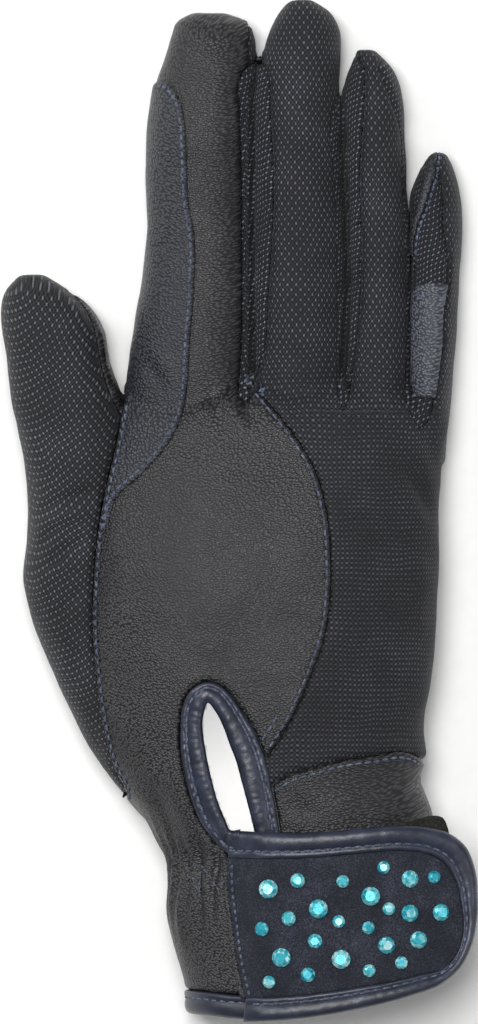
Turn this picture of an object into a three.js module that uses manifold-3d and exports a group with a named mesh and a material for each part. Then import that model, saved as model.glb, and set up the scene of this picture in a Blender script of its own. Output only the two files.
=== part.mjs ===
// A right-hand riding glove of leather and knitted mesh, lying palm down with its fingers along +Y.
// Millimetres, +Z up. The origin is on the surface that it lies on, under the middle of its outline.
// The body of the glove is one hollow skin: a hand, four fingers and a thumb, each lofted through a
// short table of sections. Seam outlines cut that skin into its panels, which stay a seam's width apart.
import * as THREE from "three";
import { mergeVertices } from "three/addons/utils/BufferGeometryUtils.js";
import Module from "manifold-3d";

const wasm = await Module();
wasm.setup();

// Driving dimensions
const HAND_LENGTH = 140.4; // hem to the forks of the fingers
const HAND_DEPTH = 31; // the thickest part of the hand, over the surface
const FORK_GAP = 0.4; // daylight between two fingers at their root
const PANEL_WALL = 1.3; // leather or mesh with its backing
const SEAM_GAP = 0.3; // between two panels, or two layers
const SIDE_SEAM_HEIGHT = 3.9; // where the palm meets the back along the outer edges
const OVERLAY_WALL = 1; // the reinforcing patches that lie on a panel
const HEM_WIDTH = 5.4;
const BINDING_PROUD = 0.9; // how far a binding stands over its panel, outside
const BINDING_BACK = 0.5; // and inside
const STRAP_LENGTH = 56.4;
const STRAP_WIDTH = 44.8;
const STRAP_WALL = 1.8;
const STRAP_PROUD = 0.6; // how far its binding stands over it
const PATCH_LOW = 0.8; // the lower edge of the little finger's patches, as a share of its depth
const TAPE_WALL = 1.2; // the hook tape under the strap
const STONE_RISE = 0.36; // a stone's height as a share of its diameter
const STONE_TABLE = 0.58; // its flat table, likewise
const STONE_SIDES = 8;
const FINENESS = 0.02; // detail smaller than this is left off a cut
const FLOOR_SINK = 0.32; // how much of a section's depth the floor flattens
const TOP_ROUNDNESS = 2.3; // exponent of the section's upper curve: 2 is an ellipse
const UNDER_ROUNDNESS = 2.6;

// One row for each section of a finger. along is a share of its length, left and right are shares of its
// width from the left of its root, and top and under are shares of its depth.
const FINGERS = {
  index: {
    width: 24, depth: 19, length: 84.8, root: 0, sides: 12,
    sections: [
      { along: -0.16, left: 0.06, right: 1.02, top: 0.98, under: 0 },
      { along: 0, left: 0, right: 1.147, top: 1.05, under: 0 },
      { along: 0.13, left: 0.057, right: 1.147, top: 1.04, under: 0 },
      { along: 0.25, left: 0.137, right: 1.147, top: 1.0, under: 0 },
      { along: 0.41, left: 0.194, right: 1.14, top: 0.98, under: 0 },
      { along: 0.57, left: 0.209, right: 1.14, top: 0.96, under: 0 },
      { along: 0.72, left: 0.228, right: 1.142, top: 0.95, under: 0 },
      { along: 0.83, left: 0.275, right: 1.15, top: 0.91, under: 0 },
      { along: 0.9, left: 0.365, right: 1.19, top: 0.86, under: 0 },
      { along: 0.95, left: 0.417, right: 1.166, top: 0.76, under: 0.03 },
      { along: 0.982, left: 0.474, right: 1.09, top: 0.63, under: 0.12 },
      { along: 1, left: 0.607, right: 0.9, top: 0.5, under: 0.25 },
    ],
  },
  middle: {
    width: 20.5, depth: 18.5, length: 87.6, root: 0, sides: 12,
    sections: [
      { along: -0.16, left: 0.02, right: 0.95, top: 1.0, under: 0 },
      { along: 0, left: 0, right: 0.99, top: 1.08, under: 0 },
      { along: 0.13, left: 0, right: 1.015, top: 1.06, under: 0 },
      { along: 0.24, left: -0.005, right: 1.035, top: 1.04, under: 0 },
      { along: 0.39, left: -0.005, right: 1.03, top: 1.02, under: 0 },
      { along: 0.55, left: -0.005, right: 1.0, top: 1.0, under: 0 },
      { along: 0.67, left: 0, right: 0.985, top: 0.99, under: 0 },
      { along: 0.78, left: 0.03, right: 0.95, top: 0.95, under: 0 },
      { along: 0.87, left: 0.13, right: 0.975, top: 0.88, under: 0 },
      { along: 0.94, left: 0.22, right: 0.93, top: 0.77, under: 0.02 },
      { along: 0.98, left: 0.33, right: 0.79, top: 0.63, under: 0.12 },
      { along: 1, left: 0.42, right: 0.64, top: 0.5, under: 0.25 },
    ],
  },
  ring: {
    width: 14.3, depth: 17.5, length: 76.9, root: 0, sides: 12,
    sections: [
      { along: -0.16, left: 0.06, right: 1.0, top: 1.02, under: 0 },
      { along: 0, left: 0, right: 1.058, top: 1.08, under: 0 },
      { along: 0.13, left: 0.03, right: 1.069, top: 1.05, under: 0 },
      { along: 0.23, left: 0.059, right: 1.069, top: 1.03, under: 0 },
      { along: 0.35, left: 0.075, right: 1.061, top: 1.01, under: 0 },
      { along: 0.48, left: 0.06, right: 1.037, top: 1.0, under: 0 },
      { along: 0.62, left: 0.02, right: 0.986, top: 0.98, under: 0 },
      { along: 0.75, left: 0, right: 0.942, top: 0.94, under: 0 },
      { along: 0.84, left: -0.015, right: 0.934, top: 0.88, under: 0 },
      { along: 0.91, left: 0.04, right: 0.862, top: 0.8, under: 0 },
      { along: 0.96, left: 0.13, right: 0.72, top: 0.68, under: 0.06 },
      { along: 1, left: 0.21, right: 0.5, top: 0.5, under: 0.2 },
    ],
  },
  little: {
    width: 12, depth: 15.5, length: 58.7, root: -0.0406, sides: 12,
    sections: [
      { along: -0.2, left: 0.02, right: 0.64, top: 1.0, under: 0.1 },
      { along: 0, left: 0, right: 0.72, top: 1.1, under: 0 },
      { along: 0.15, left: 0, right: 0.758, top: 1.1, under: 0 },
      { along: 0.3, left: 0, right: 0.815, top: 1.06, under: 0 },
      { along: 0.45, left: 0, right: 0.878, top: 1.03, under: 0 },
      { along: 0.62, left: -0.01, right: 0.929, top: 1.0, under: 0 },
      { along: 0.76, left: -0.02, right: 0.954, top: 0.95, under: 0 },
      { along: 0.85, left: 0, right: 0.929, top: 0.88, under: 0 },
      { along: 0.92, left: 0.15, right: 0.844, top: 0.78, under: 0.02 },
      { along: 0.97, left: 0.28, right: 0.74, top: 0.64, under: 0.1 },
      { along: 1, left: 0.42, right: 0.645, top: 0.5, under: 0.22 },
    ],
  },
};

// The thumb runs from the wrist to its tip, and its columns are those of a finger.
const THUMB = {
  width: 23.5, depth: 20.5, length: 124, root: -0.705, sides: 14,
  sections: [
    { along: -0.02, left: 1.56, right: 1.9, top: 0.7, under: 0.02 },
    { along: 0.045, left: 1.23, right: 1.92, top: 0.86, under: 0 },
    { along: 0.12, left: 0.93, right: 1.86, top: 0.93, under: 0 },
    { along: 0.2, left: 0.71, right: 1.76, top: 0.97, under: 0 },
    { along: 0.3, left: 0.48, right: 1.55, top: 1.0, under: 0 },
    { along: 0.37, left: 0.33, right: 1.38, top: 1.0, under: 0 },
    { along: 0.43, left: 0.255, right: 1.26, top: 1.0, under: 0 },
    { along: 0.52, left: 0.28, right: 1.21, top: 1.02, under: 0 },
    { along: 0.61, left: 0.28, right: 1.22, top: 1.03, under: 0 },
    { along: 0.69, left: 0.235, right: 1.25, top: 1.02, under: 0 },
    { along: 0.77, left: 0.14, right: 1.2, top: 1.0, under: 0 },
    { along: 0.84, left: 0.075, right: 1.07, top: 0.97, under: 0 },
    { along: 0.9, left: 0.02, right: 1.01, top: 0.92, under: 0 },
    { along: 0.94, left: 0.01, right: 0.88, top: 0.85, under: 0 },
    { along: 0.975, left: 0.07, right: 0.64, top: 0.73, under: 0.08 },
    { along: 1, left: 0.2, right: 0.42, top: 0.52, under: 0.24 },
  ],
};

// The hand: along is a share of HAND_LENGTH from the hem, left and right are shares of the width across
// the knuckles, and top is a share of HAND_DEPTH. gather is how deep the elastic's gathers are, in
// millimetres.
const HAND = [
  { along: -0.06, left: 0.2, right: 0.96, top: 0.96, gather: 0 },
  { along: 0.019, left: 0.179, right: 0.975, top: 0.97, gather: 0 },
  { along: 0.084, left: 0.15, right: 0.985, top: 0.985, gather: 0 },
  { along: 0.149, left: 0.128, right: 0.99, top: 0.985, gather: 0.1 },
  { along: 0.198, left: 0.132, right: 0.98, top: 0.965, gather: 0.35 },
  { along: 0.233, left: 0.12, right: 0.97, top: 0.92, gather: 0.6 },
  { along: 0.271, left: 0.078, right: 0.955, top: 0.94, gather: 0.35 },
  { along: 0.311, left: 0.038, right: 0.935, top: 0.96, gather: 0.1 },
  { along: 0.344, left: -0.013, right: 0.917, top: 0.97, gather: 0 },
  { along: 0.373, left: -0.048, right: 0.909, top: 0.98, gather: 0 },
  { along: 0.404, left: -0.082, right: 0.931, top: 0.985, gather: 0 },
  { along: 0.438, left: -0.104, right: 0.922, top: 0.99, gather: 0 },
  { along: 0.506, left: -0.136, right: 0.942, top: 1.0, gather: 0 },
  { along: 0.587, left: -0.154, right: 0.959, top: 1.0, gather: 0 },
  { along: 0.668, left: -0.15, right: 0.965, top: 0.985, gather: 0 },
  { along: 0.749, left: -0.142, right: 0.967, top: 0.95, gather: 0 },
  { along: 0.83, left: -0.12, right: 0.975, top: 0.89, gather: 0 },
  { along: 0.895, left: -0.082, right: 0.987, top: 0.82, gather: 0 },
  { along: 0.943, left: -0.048, right: 1.0, top: 0.76, gather: 0 },
  { along: 0.976, left: -0.022, right: 1.0, top: 0.68, gather: 0 },
  { along: 1, left: -0.003, right: 0.995, top: 0.58, gather: 0 },
  { along: 1.016, left: 0.02, right: 0.97, top: 0.45, gather: 0 },
];
const HAND_SIDES = 26;

const last = (list) => list[list.length - 1];

// The fingers stand side by side, so their widths and gaps set the width across the knuckles.
let edge = 0;
for (const finger of Object.values(FINGERS)) {
  const atRoot = finger.sections[1];
  finger.start = edge - atRoot.left * finger.width;
  edge += (atRoot.right - atRoot.left) * finger.width + FORK_GAP;
}
const KNUCKLE_WIDTH = edge - FORK_GAP;
const THUMB_REACH = 0.41; // how far the thumb's outer side lies left of the index finger
THUMB.start = -THUMB_REACH * KNUCKLE_WIDTH;

// The hand's hem is at y 0 while the glove is made.
for (const digit of [...Object.values(FINGERS), THUMB]) digit.base = (1 + digit.root) * HAND_LENGTH;

// A point of the plan on the hand, in the shares of the HAND table.
const onHand = ([across, along]) => [across * KNUCKLE_WIDTH, along * HAND_LENGTH];

// Reads a column of a section table at any place along it, in straight steps.
function between(rows, along, column) {
  const i = rows.findIndex((row) => row.along >= along);
  if (i <= 0) return (i ? last(rows) : rows[0])[column];
  const [a, b] = [rows[i - 1], rows[i]];
  return THREE.MathUtils.mapLinear(along, a.along, b.along, a[column], b[column]);
}

// A point of the plan on a finger: a share of its length, and of its own width there.
function onFinger(finger, [along, across]) {
  const left = between(finger.sections, along, "left");
  const right = between(finger.sections, along, "right");
  const x = finger.start + finger.width * (left + across * (right - left));
  return [x, finger.base + along * finger.length];
}

// Sections in millimetres, with how much each leans, so that a layer can be grown outwards along its normal.
function sectionsOf(rows, { start, width, base, length, depth }) {
  const made = rows.map((row) => ({
    y: base + row.along * length,
    left: start + row.left * width,
    right: start + row.right * width,
    top: row.top * depth,
    under: (row.under || 0) * depth,
    gather: row.gather || 0,
  }));
  return made.map((section, i) => {
    const [a, b] = [made[Math.max(i - 1, 0)], made[Math.min(i + 1, made.length - 1)]];
    const run = b.y - a.y;
    const narrowing = (a.right - a.left - (b.right - b.left)) / 2 / run;
    const cosine = 1 / Math.hypot(1, Math.max(narrowing, 0));
    return { ...section, across: cosine, ahead: Math.max(narrowing, 0) * cosine };
  });
}

const handSections = sectionsOf(HAND, {
  start: 0, width: KNUCKLE_WIDTH, base: 0, length: HAND_LENGTH, depth: HAND_DEPTH,
});

// One ring of a loft. grow moves it outwards. It never goes under the floor.
function ring(section, sides, grow) {
  const middle = (section.left + section.right) / 2;
  const half = (section.right - section.left) / 2;
  const widest = section.under + (section.top - section.under) * 0.4;
  const points = [];
  const above = Math.round(sides * 0.64);
  for (let i = 0; i < sides; i++) {
    const turn = i < above ? (i + 0.5) / above : 1 + (i - above + 0.5) / (sides - above);
    const [c, s] = [Math.cos(turn * Math.PI), Math.sin(turn * Math.PI)];
    const power = 2 / (s > 0 ? TOP_ROUNDNESS : UNDER_ROUNDNESS);
    const side = Math.sign(c) * Math.abs(c) ** power;
    const up = Math.sign(s) * Math.abs(s) ** power;
    const out = grow * section.across;
    const pleat = i % 2 ? section.gather : -section.gather;
    const x = middle + (half + out + pleat) * side;
    const below = widest - section.under + FLOOR_SINK * (section.top - section.under) + out;
    const z = widest + up * (s > 0 ? section.top - widest + out + pleat : below);
    const floor = Math.max(section.under, 0) - Math.min(grow, 0);
    points.push(new THREE.Vector3(x, section.y + grow * section.ahead, Math.max(z, floor)));
  }
  return points;
}

function solidOf(geometry) {
  const bare = new THREE.BufferGeometry().setAttribute("position", geometry.getAttribute("position"));
  if (geometry.index) bare.setIndex(geometry.index);
  const merged = mergeVertices(bare, 1e-4);
  const mesh = new wasm.Mesh({
    numProp: 3,
    vertProperties: merged.attributes.position.array,
    triVerts: new Uint32Array(merged.index.array),
  });
  return new wasm.Manifold(mesh);
}

function geometryOf(solid) {
  const { vertProperties, triVerts, numProp, numVert } = solid.getMesh();
  const positions = new Float32Array(numVert * 3);
  for (let i = 0; i < numVert; i++) {
    positions.set(vertProperties.subarray(i * numProp, i * numProp + 3), i * 3);
  }
  const geometry = new THREE.BufferGeometry();
  geometry.setAttribute("position", new THREE.BufferAttribute(positions, 3));
  geometry.setIndex(new THREE.BufferAttribute(triVerts, 1));
  geometry.computeVertexNormals();
  return geometry;
}

// A closed skin through rings of equal count, with a fan over each end.
function loft(rings) {
  const sides = rings[0].length;
  const centre = (points) => points.reduce((sum, p) => sum.add(p), new THREE.Vector3()).divideScalar(sides);
  const points = [...rings.flat(), centre(rings[0]), centre(last(rings))];
  const [first, final] = [points.length - 2, points.length - 1];
  const faces = [];
  for (let i = 0; i < sides; i++) {
    const next = (i + 1) % sides;
    for (let j = 0; j < rings.length - 1; j++) {
      const [a, b, c, d] = [j * sides + i, j * sides + next, (j + 1) * sides + next, (j + 1) * sides + i];
      faces.push(a, c, b, a, d, c);
    }
    const top = (rings.length - 1) * sides;
    faces.push(first, i, next, final, top + next, top + i);
  }
  const geometry = new THREE.BufferGeometry().setFromPoints(points);
  return solidOf(geometry.setIndex(faces));
}

const loftOf = (sections, sides, grow) => loft(sections.map((section) => ring(section, sides, grow)));

// The whole outer shape of the glove, moved outwards or inwards by grow.
function form(grow) {
  const digits = [...Object.values(FINGERS), THUMB];
  return digits.reduce(
    (sum, digit) => sum.add(loftOf(sectionsOf(digit.sections, digit), digit.sides, grow)),
    loftOf(handSections, HAND_SIDES, grow),
  );
}

const CEILING = 2 * HAND_DEPTH;
const BEYOND = 3 * HAND_LENGTH;

// An upright prism on a closed outline in the plan.
function prism(outline, low = -CEILING, high = CEILING) {
  const shape = new THREE.Shape(outline.map(([x, y]) => new THREE.Vector2(x, y)));
  const geometry = new THREE.ExtrudeGeometry(shape, { depth: high - low, bevelEnabled: false, steps: 1 });
  return solidOf(geometry.translate(0, 0, low));
}

// A closed outline moved outwards by a distance, whichever way round it runs.
function grown(outline, distance) {
  const area = THREE.ShapeUtils.area(outline.map(([x, y]) => ({ x, y })));
  const count = outline.length;
  return outline.map(([x, y], i) => {
    const [before, after] = [outline[(i + count - 1) % count], outline[(i + 1) % count]];
    const arriving = new THREE.Vector2(x - before[0], y - before[1]).normalize();
    const leaving = new THREE.Vector2(after[0] - x, after[1] - y).normalize();
    const along = arriving.clone().add(leaving).normalize();
    const reach = (Math.sign(area) * distance) / Math.max(along.dot(leaving), 0.35);
    return [x + along.y * reach, y - along.x * reach];
  });
}

// The biggest body of a cut, without the crumbs that a cutter leaves at a corner.
function mainBody(solid) {
  return solid.decompose().sort((a, b) => b.volume() - a.volume())[0];
}

// Seams over the fingers, as rows of share of length and share of width
const { index, middle, ring: ringFinger, little } = FINGERS;
const SEAMS = {
  indexRight: [
    [-0.02, 0.915], [0.13, 0.925], [0.35, 0.925], [0.57, 0.92], [0.75, 0.89], [0.84, 0.85], [0.895, 0.89],
    [0.93, 1.06],
  ],
  middleLeft: [
    [-0.01, -0.01], [0.09, 0.12], [0.24, 0.166], [0.48, 0.226], [0.73, 0.183], [0.81, 0.115], [0.86, -0.08],
  ],
  middleRight: [[-0.02, 0.955], [0.2, 0.93], [0.5, 0.92], [0.72, 0.93], [0.8, 1.08]],
  ringLeft: [
    [-0.04, 0.06], [0.06, 0.13], [0.15, 0.168], [0.27, 0.196], [0.48, 0.213], [0.63, 0.24], [0.77, 0.32],
    [0.88, 0.36], [0.95, 0.3], [0.985, -0.1],
  ],
  ringRight: [
    [-0.04, 0.95], [0.3, 0.945], [0.6, 0.95], [0.78, 0.94], [0.83, 0.85], [0.9, 0.74], [0.95, 0.72],
    [0.985, 1.6],
  ],
  littleLeft: [
    [-0.03, 0.5], [0.1, 0.6], [0.22, 0.69], [0.4, 0.69], [0.5, 0.75], [0.62, 0.73], [0.68, 0.65],
    [0.876, 0.596], [0.93, 0.5], [0.96, -0.15],
  ],
};
const seam = (finger, rows) => rows.map((row) => onFinger(finger, row));

// Each fourchette lines the two sides that face each other and the fork between them.
const FORK_DEPTH = 2.4; // how far a fourchette reaches into the hand at the fork
function fourchetteOutline(leftLine, rightLine) {
  const [[leftX, leftY], [rightX, rightY]] = [leftLine[0], rightLine[0]];
  const fork = [(leftX + rightX) / 2, Math.min(leftY, rightY) - FORK_DEPTH];
  return [fork, ...rightLine, ...leftLine.reverse()];
}
const FOURCHETTES = {
  fourchette_index_middle: fourchetteOutline(
    seam(index, SEAMS.indexRight), seam(middle, SEAMS.middleLeft),
  ),
  fourchette_middle_ring: fourchetteOutline(
    seam(middle, SEAMS.middleRight), seam(ringFinger, SEAMS.ringLeft),
  ),
  fourchette_ring_little: fourchetteOutline(
    seam(ringFinger, SEAMS.ringRight), seam(little, SEAMS.littleLeft),
  ),
};

// Outlines on the hand, as shares of the width across the knuckles and of HAND_LENGTH
const THUMB_SEAM = [
  [-0.021, 0.971], [-0.038, 0.92], [-0.078, 0.83], [-0.101, 0.765], [-0.115, 0.684], [-0.118, 0.603],
  [-0.107, 0.53], [-0.088, 0.457], [-0.053, 0.384], [-0.013, 0.334], [-0.089, 0.29],
];
const THUMB_STRIP = [
  [-0.267, 1.22], [-0.213, 1.167], [-0.168, 1.144], [-0.132, 1.121], [-0.106, 1.086], [-0.092, 1.048],
  [-0.075, 1.01], [-0.052, 0.977], [-0.022, 0.95],
];
const THUMB_PALM_SEAM = [
  [-0.02, 0.971], [0.01, 0.88], [0, 0.77], [-0.069, 0.68], [-0.198, 0.62], [-0.337, 0.6],
];
const OVAL_SEAM = [
  [0.374, 1.011], [0.425, 0.979], [0.512, 0.922], [0.581, 0.862], [0.616, 0.796], [0.629, 0.718],
  [0.629, 0.676], [0.609, 0.595], [0.56, 0.522], [0.495, 0.449], [0.416, 0.385],
];
const BAND_SEAM = [
  [0.416, 0.345], [0.441, 0.352], [0.49, 0.368], [0.572, 0.382], [0.66, 0.394], [0.77, 0.402],
  [0.848, 0.408], [0.891, 0.402], [0.931, 0.388], [1.089, 0.37],
];
const KEYHOLE_OUTER = [
  [0.313, 0.241], [0.287, 0.25], [0.257, 0.267], [0.222, 0.292], [0.196, 0.323], [0.174, 0.364],
  [0.16, 0.405], [0.158, 0.447], [0.166, 0.484], [0.19, 0.507], [0.242, 0.521], [0.282, 0.515],
  [0.319, 0.496], [0.35, 0.473], [0.382, 0.447], [0.411, 0.415], [0.431, 0.381], [0.446, 0.344],
  [0.465, 0.287], [0.495, 0.17], [0.522, 0.05],
];
const KEYHOLE_INNER = [
  [0.313, 0.28], [0.296, 0.297], [0.274, 0.324], [0.254, 0.36], [0.239, 0.395], [0.228, 0.43],
  [0.226, 0.463], [0.245, 0.488], [0.27, 0.473], [0.294, 0.449], [0.314, 0.421], [0.335, 0.393],
  [0.35, 0.364], [0.366, 0.333], [0.388, 0.287], [0.421, 0.17], [0.447, 0.05],
];
const STRAP_SEAM = [
  [0.371, -0.02], [0.362, 0.011], [0.338, 0.071], [0.322, 0.134], [0.311, 0.185], [0.309, 0.236],
];
const HEM = [
  [-0.6, 0.03], [0.2, 0.02], [0.387, 0.014], [0.66, 0.045], [0.813, 0.075], [0.984, 0.12], [1.3, 0.3],
];
const INDEX_PATCH = [
  [0.087, 1.493], [0.113, 1.491], [0.135, 1.481], [0.159, 1.46], [0.172, 1.428], [0.178, 1.377],
  [0.184, 1.301], [0.203, 1.237], [0.2, 1.149], [0.187, 1.063], [0.178, 0.99], [0.168, 0.961],
  [0.141, 0.924], [0.097, 0.89], [0.022, 0.849], [-0.038, 0.82], [-0.061, 0.783], [-0.065, 0.757],
  [-0.087, 0.79], [-0.074, 0.83], [-0.034, 0.92], [-0.012, 0.975],
];

// Outlines over the little finger, as shares of its length and of its width
const REIN_PATCH = [
  [0.05, 0.02], [0.05, 0.62], [0.2, 0.68], [0.4, 0.71], [0.49, 0.76], [0.5, 0.4], [0.475, 0.02],
];
const TIP_PATCH = [
  [0.6, -0.1], [0.6, 0.06], [0.66, 0.08], [0.72, 0.15], [0.78, 0.27], [0.85, 0.37], [0.91, 0.42],
  [0.965, 0.43], [1.02, 0.35], [1.02, -0.1],
];

// The strap, as shares of its length from its seam and of its width from its lower edge
const STRAP_OUTER = [
  [0.011, 0.974], [0.27, 0.964], [0.44, 0.975], [0.609, 0.995], [0.694, 1], [0.778, 0.995], [0.879, 0.964],
  [0.948, 0.898], [0.988, 0.782], [1, 0.645], [0.996, 0.508], [0.972, 0.381], [0.923, 0.274],
  [0.847, 0.198], [0.734, 0.147], [0.524, 0.081], [0.27, 0.03], [0.085, 0.005],
];
const STRAP_INNER = [
  [0.085, 0.135], [0.27, 0.147], [0.44, 0.173], [0.609, 0.208], [0.778, 0.254], [0.863, 0.284],
  [0.911, 0.345], [0.94, 0.452], [0.935, 0.594], [0.911, 0.721], [0.863, 0.817], [0.778, 0.868],
  [0.694, 0.878], [0.524, 0.863], [0.27, 0.838], [0.011, 0.838],
];
const STRAP_LEFT = [[0.011, 0.838], [0.013, 0.68], [0.029, 0.523], [0.05, 0.325], [0.085, 0.135]];
const TAPE = [
  [0.65, 0.3], [0.65, 0.9], [0.685, 1.005], [0.74, 1.03], [0.778, 1.046], [0.823, 1.055], [0.86, 1.046],
  [0.881, 0.995], [0.89, 0.9], [0.915, 0.6], [0.87, 0.35],
];
// Its underside: a share of the width across the knuckles, and a share of HAND_DEPTH
const STRAP_LINE = [
  [0.247, 0.78], [0.313, 0.855], [0.356, 0.915], [0.396, 0.98], [0.455, 1.015], [0.544, 1.04], [0.643, 1.045],
  [0.742, 1.035], [0.861, 1], [0.96, 0.945], [1.129, 0.83],
];

// The crystals: where each one lies on the strap, and its size
const SIZES = { large: 4.3, medium: 3.9, small: 3.3, tiny: 2.9 };
const STONES = [
  [0.16, 0.685, "large"], [0.277, 0.728, "small"], [0.458, 0.724, "tiny"], [0.622, 0.794, "tiny"],
  [0.727, 0.736, "medium"], [0.825, 0.745, "tiny"], [0.571, 0.649, "large"], [0.36, 0.585, "large"],
  [0.242, 0.536, "small"], [0.442, 0.521, "tiny"], [0.643, 0.585, "tiny"], [0.727, 0.562, "medium"],
  [0.852, 0.565, "medium"], [0.134, 0.482, "small"], [0.56, 0.489, "tiny"], [0.347, 0.422, "small"],
  [0.762, 0.427, "medium"], [0.633, 0.401, "medium"], [0.213, 0.338, "large"], [0.452, 0.33, "large"],
  [0.694, 0.312, "tiny"], [0.564, 0.272, "tiny"], [0.319, 0.251, "small"], [0.163, 0.214, "tiny"],
];

const lineOf = (points) => points.map(onHand);
const edgeOf = (line) => {
  const [, y] = last(line);
  return [[BEYOND, y], [BEYOND, BEYOND], [-BEYOND, BEYOND]];
};
const everything = [[-BEYOND, -BEYOND], [BEYOND, -BEYOND], [BEYOND, BEYOND], [-BEYOND, BEYOND]];
const upper = prism(everything, SIDE_SEAM_HEIGHT + SEAM_GAP / 2);
const lower = prism(everything, -CEILING, SIDE_SEAM_HEIGHT - SEAM_GAP / 2);

const hemLine = HEM.map(onHand);
const hemEdge = hemLine.map(([x, y]) => [x, y - SEAM_GAP]);
const hemFoot = hemLine.map(([x, y]) => [x, y - SEAM_GAP - HEM_WIDTH]);
const keyholeOuter = lineOf(KEYHOLE_OUTER);
const keyholeInner = lineOf(KEYHOLE_INNER);
const strapSeam = lineOf(STRAP_SEAM);
const slitFoot = [[last(keyholeOuter)[0], -BEYOND], [strapSeam[0][0], -BEYOND]];
const slitOutline = [...strapSeam, ...keyholeOuter, ...slitFoot];

// The skin with the wrist's opening and the slit in the back cut out of it
const skin = form(0)
  .subtract(form(-PANEL_WALL))
  .intersect(prism([...hemLine, ...edgeOf(hemLine)]));
const slit = prism(grown(slitOutline, SEAM_GAP), HAND_DEPTH / 2);

// The strips between the fingers come out of the skin first.
const solids = {};
let rest = skin.subtract(slit);
for (const [name, outline] of Object.entries(FOURCHETTES)) {
  solids[name] = skin.intersect(upper).intersect(prism(outline));
  rest = rest.subtract(prism(grown(outline, SEAM_GAP), SIDE_SEAM_HEIGHT));
}

// The thumb: mesh over its back, and leather round its inner side to the palm
const daylight = [[-0.05, -0.06], [0.03, -0.045], [0.13, -0.12], [0.4, -0.45], [0.7, -0.7]];
const thumbGap = daylight.map((point) => onFinger(index, point));
const thumbSide = (line) => [...line, [-BEYOND, last(line)[1]], [-BEYOND, last(thumbGap)[1]]];
const thumbOutline = [...thumbSide(lineOf(THUMB_SEAM)), ...[...thumbGap].reverse()];
const palmOutline = [...thumbSide(lineOf(THUMB_PALM_SEAM)), ...[...thumbGap].reverse()];
const stripOutline = [...lineOf(THUMB_STRIP), ...thumbGap, [-0.27 * KNUCKLE_WIDTH, last(thumbGap)[1]]];
const strip = prism(stripOutline);
const thumbLeather = prism(palmOutline, -CEILING, SIDE_SEAM_HEIGHT - SEAM_GAP / 2).add(strip);
const stripCut = prism(grown(stripOutline, SEAM_GAP));
solids.thumb_mesh = rest.intersect(upper).intersect(prism(thumbOutline)).subtract(stripCut);
solids.thumb_leather = rest.intersect(thumbLeather);
const hand = rest.subtract(stripCut);

// The palm and the three panels of the back
solids.palm_leather = hand.intersect(lower).subtract(prism(grown(palmOutline, SEAM_GAP)));
const back = hand.intersect(upper).subtract(prism(grown(thumbOutline, SEAM_GAP)));
const ovalLine = lineOf(OVAL_SEAM);
const bandLine = lineOf(BAND_SEAM);
const bandEnd = [BEYOND, last(bandLine)[1]];
const meshOutline = [...ovalLine, ...bandLine, bandEnd, [BEYOND, BEYOND], [ovalLine[0][0], BEYOND]];
const bandOutline = [...bandLine, bandEnd, [BEYOND, -BEYOND], [bandLine[0][0], -BEYOND]];
const bandCut = prism(grown(bandOutline, SEAM_GAP));
solids.wrist_band = back.intersect(prism(bandOutline));
solids.back_mesh = back.intersect(prism(meshOutline)).subtract(bandCut);
solids.back_leather = back.subtract(prism(grown(meshOutline, SEAM_GAP))).subtract(bandCut);

// The bindings fold over the edge of the skin.
const fold = form(BINDING_PROUD).subtract(form(-PANEL_WALL - BINDING_BACK));
const hemBand = prism([...hemEdge, ...[...hemFoot].reverse()]);
const keyholeOutline = [...keyholeOuter, ...[...keyholeInner].reverse()];
solids.cuff_hem = fold.intersect(hemBand).subtract(slit);
const keyholeBand = fold.intersect(prism(keyholeOutline, HAND_DEPTH / 2));
const belowHem = prism([...hemEdge, [BEYOND, -BEYOND], [-BEYOND, -BEYOND]]);
solids.keyhole_binding = keyholeBand.subtract(belowHem);

// The patches lie on the skin.
const layer = form(SEAM_GAP + OVERLAY_WALL).subtract(form(SEAM_GAP));
const onLittle = (rows) => rows.map((row) => onFinger(little, row));
const patchHeight = PATCH_LOW * little.depth;
solids.index_side_patch = layer.intersect(prism(INDEX_PATCH.map(onHand), SIDE_SEAM_HEIGHT));
solids.little_rein_patch = layer.intersect(prism(onLittle(REIN_PATCH), patchHeight));
solids.little_tip_patch = layer.intersect(prism(onLittle(TIP_PATCH), patchHeight));

// The strap is a curved sheet, cut to its outline.
const strapLine = STRAP_LINE.map(([x, z]) => [x * KNUCKLE_WIDTH, z * HAND_DEPTH]);
function strapLayer(low, high) {
  const under = strapLine.map(([x, z]) => new THREE.Vector2(x, z + low));
  const over = strapLine.map(([x, z]) => new THREE.Vector2(x, z + high)).reverse();
  const geometry = new THREE.ExtrudeGeometry(new THREE.Shape([...under, ...over]), {
    depth: 2 * STRAP_WIDTH, bevelEnabled: false, steps: 1,
  });
  return solidOf(geometry.rotateX(Math.PI / 2).translate(0, STRAP_WIDTH * 1.5, 0));
}
const [strapX, strapTop] = onHand([0.309, 0.287]);
const onStrap = ([u, v]) => [strapX + u * STRAP_LENGTH, strapTop + (v - 1) * STRAP_WIDTH];
const strapOuter = STRAP_OUTER.map(onStrap);
const strapInner = STRAP_INNER.map(onStrap);
const strapLeft = STRAP_LEFT.map(onStrap);
const strapBody = [...strapInner, ...strapLeft.slice(1, -1)];
const strapFrame = [...strapOuter, ...strapInner];
solids.strap = strapLayer(0, STRAP_WALL).intersect(prism(strapBody));
const strapBand = strapLayer(0, STRAP_WALL + STRAP_PROUD).intersect(prism(strapFrame));
solids.strap_binding = strapBand.subtract(prism(grown(strapBody, SEAM_GAP)));
solids.hook_tape = strapLayer(-SEAM_GAP - TAPE_WALL, -SEAM_GAP).intersect(prism(TAPE.map(onStrap)));

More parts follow.
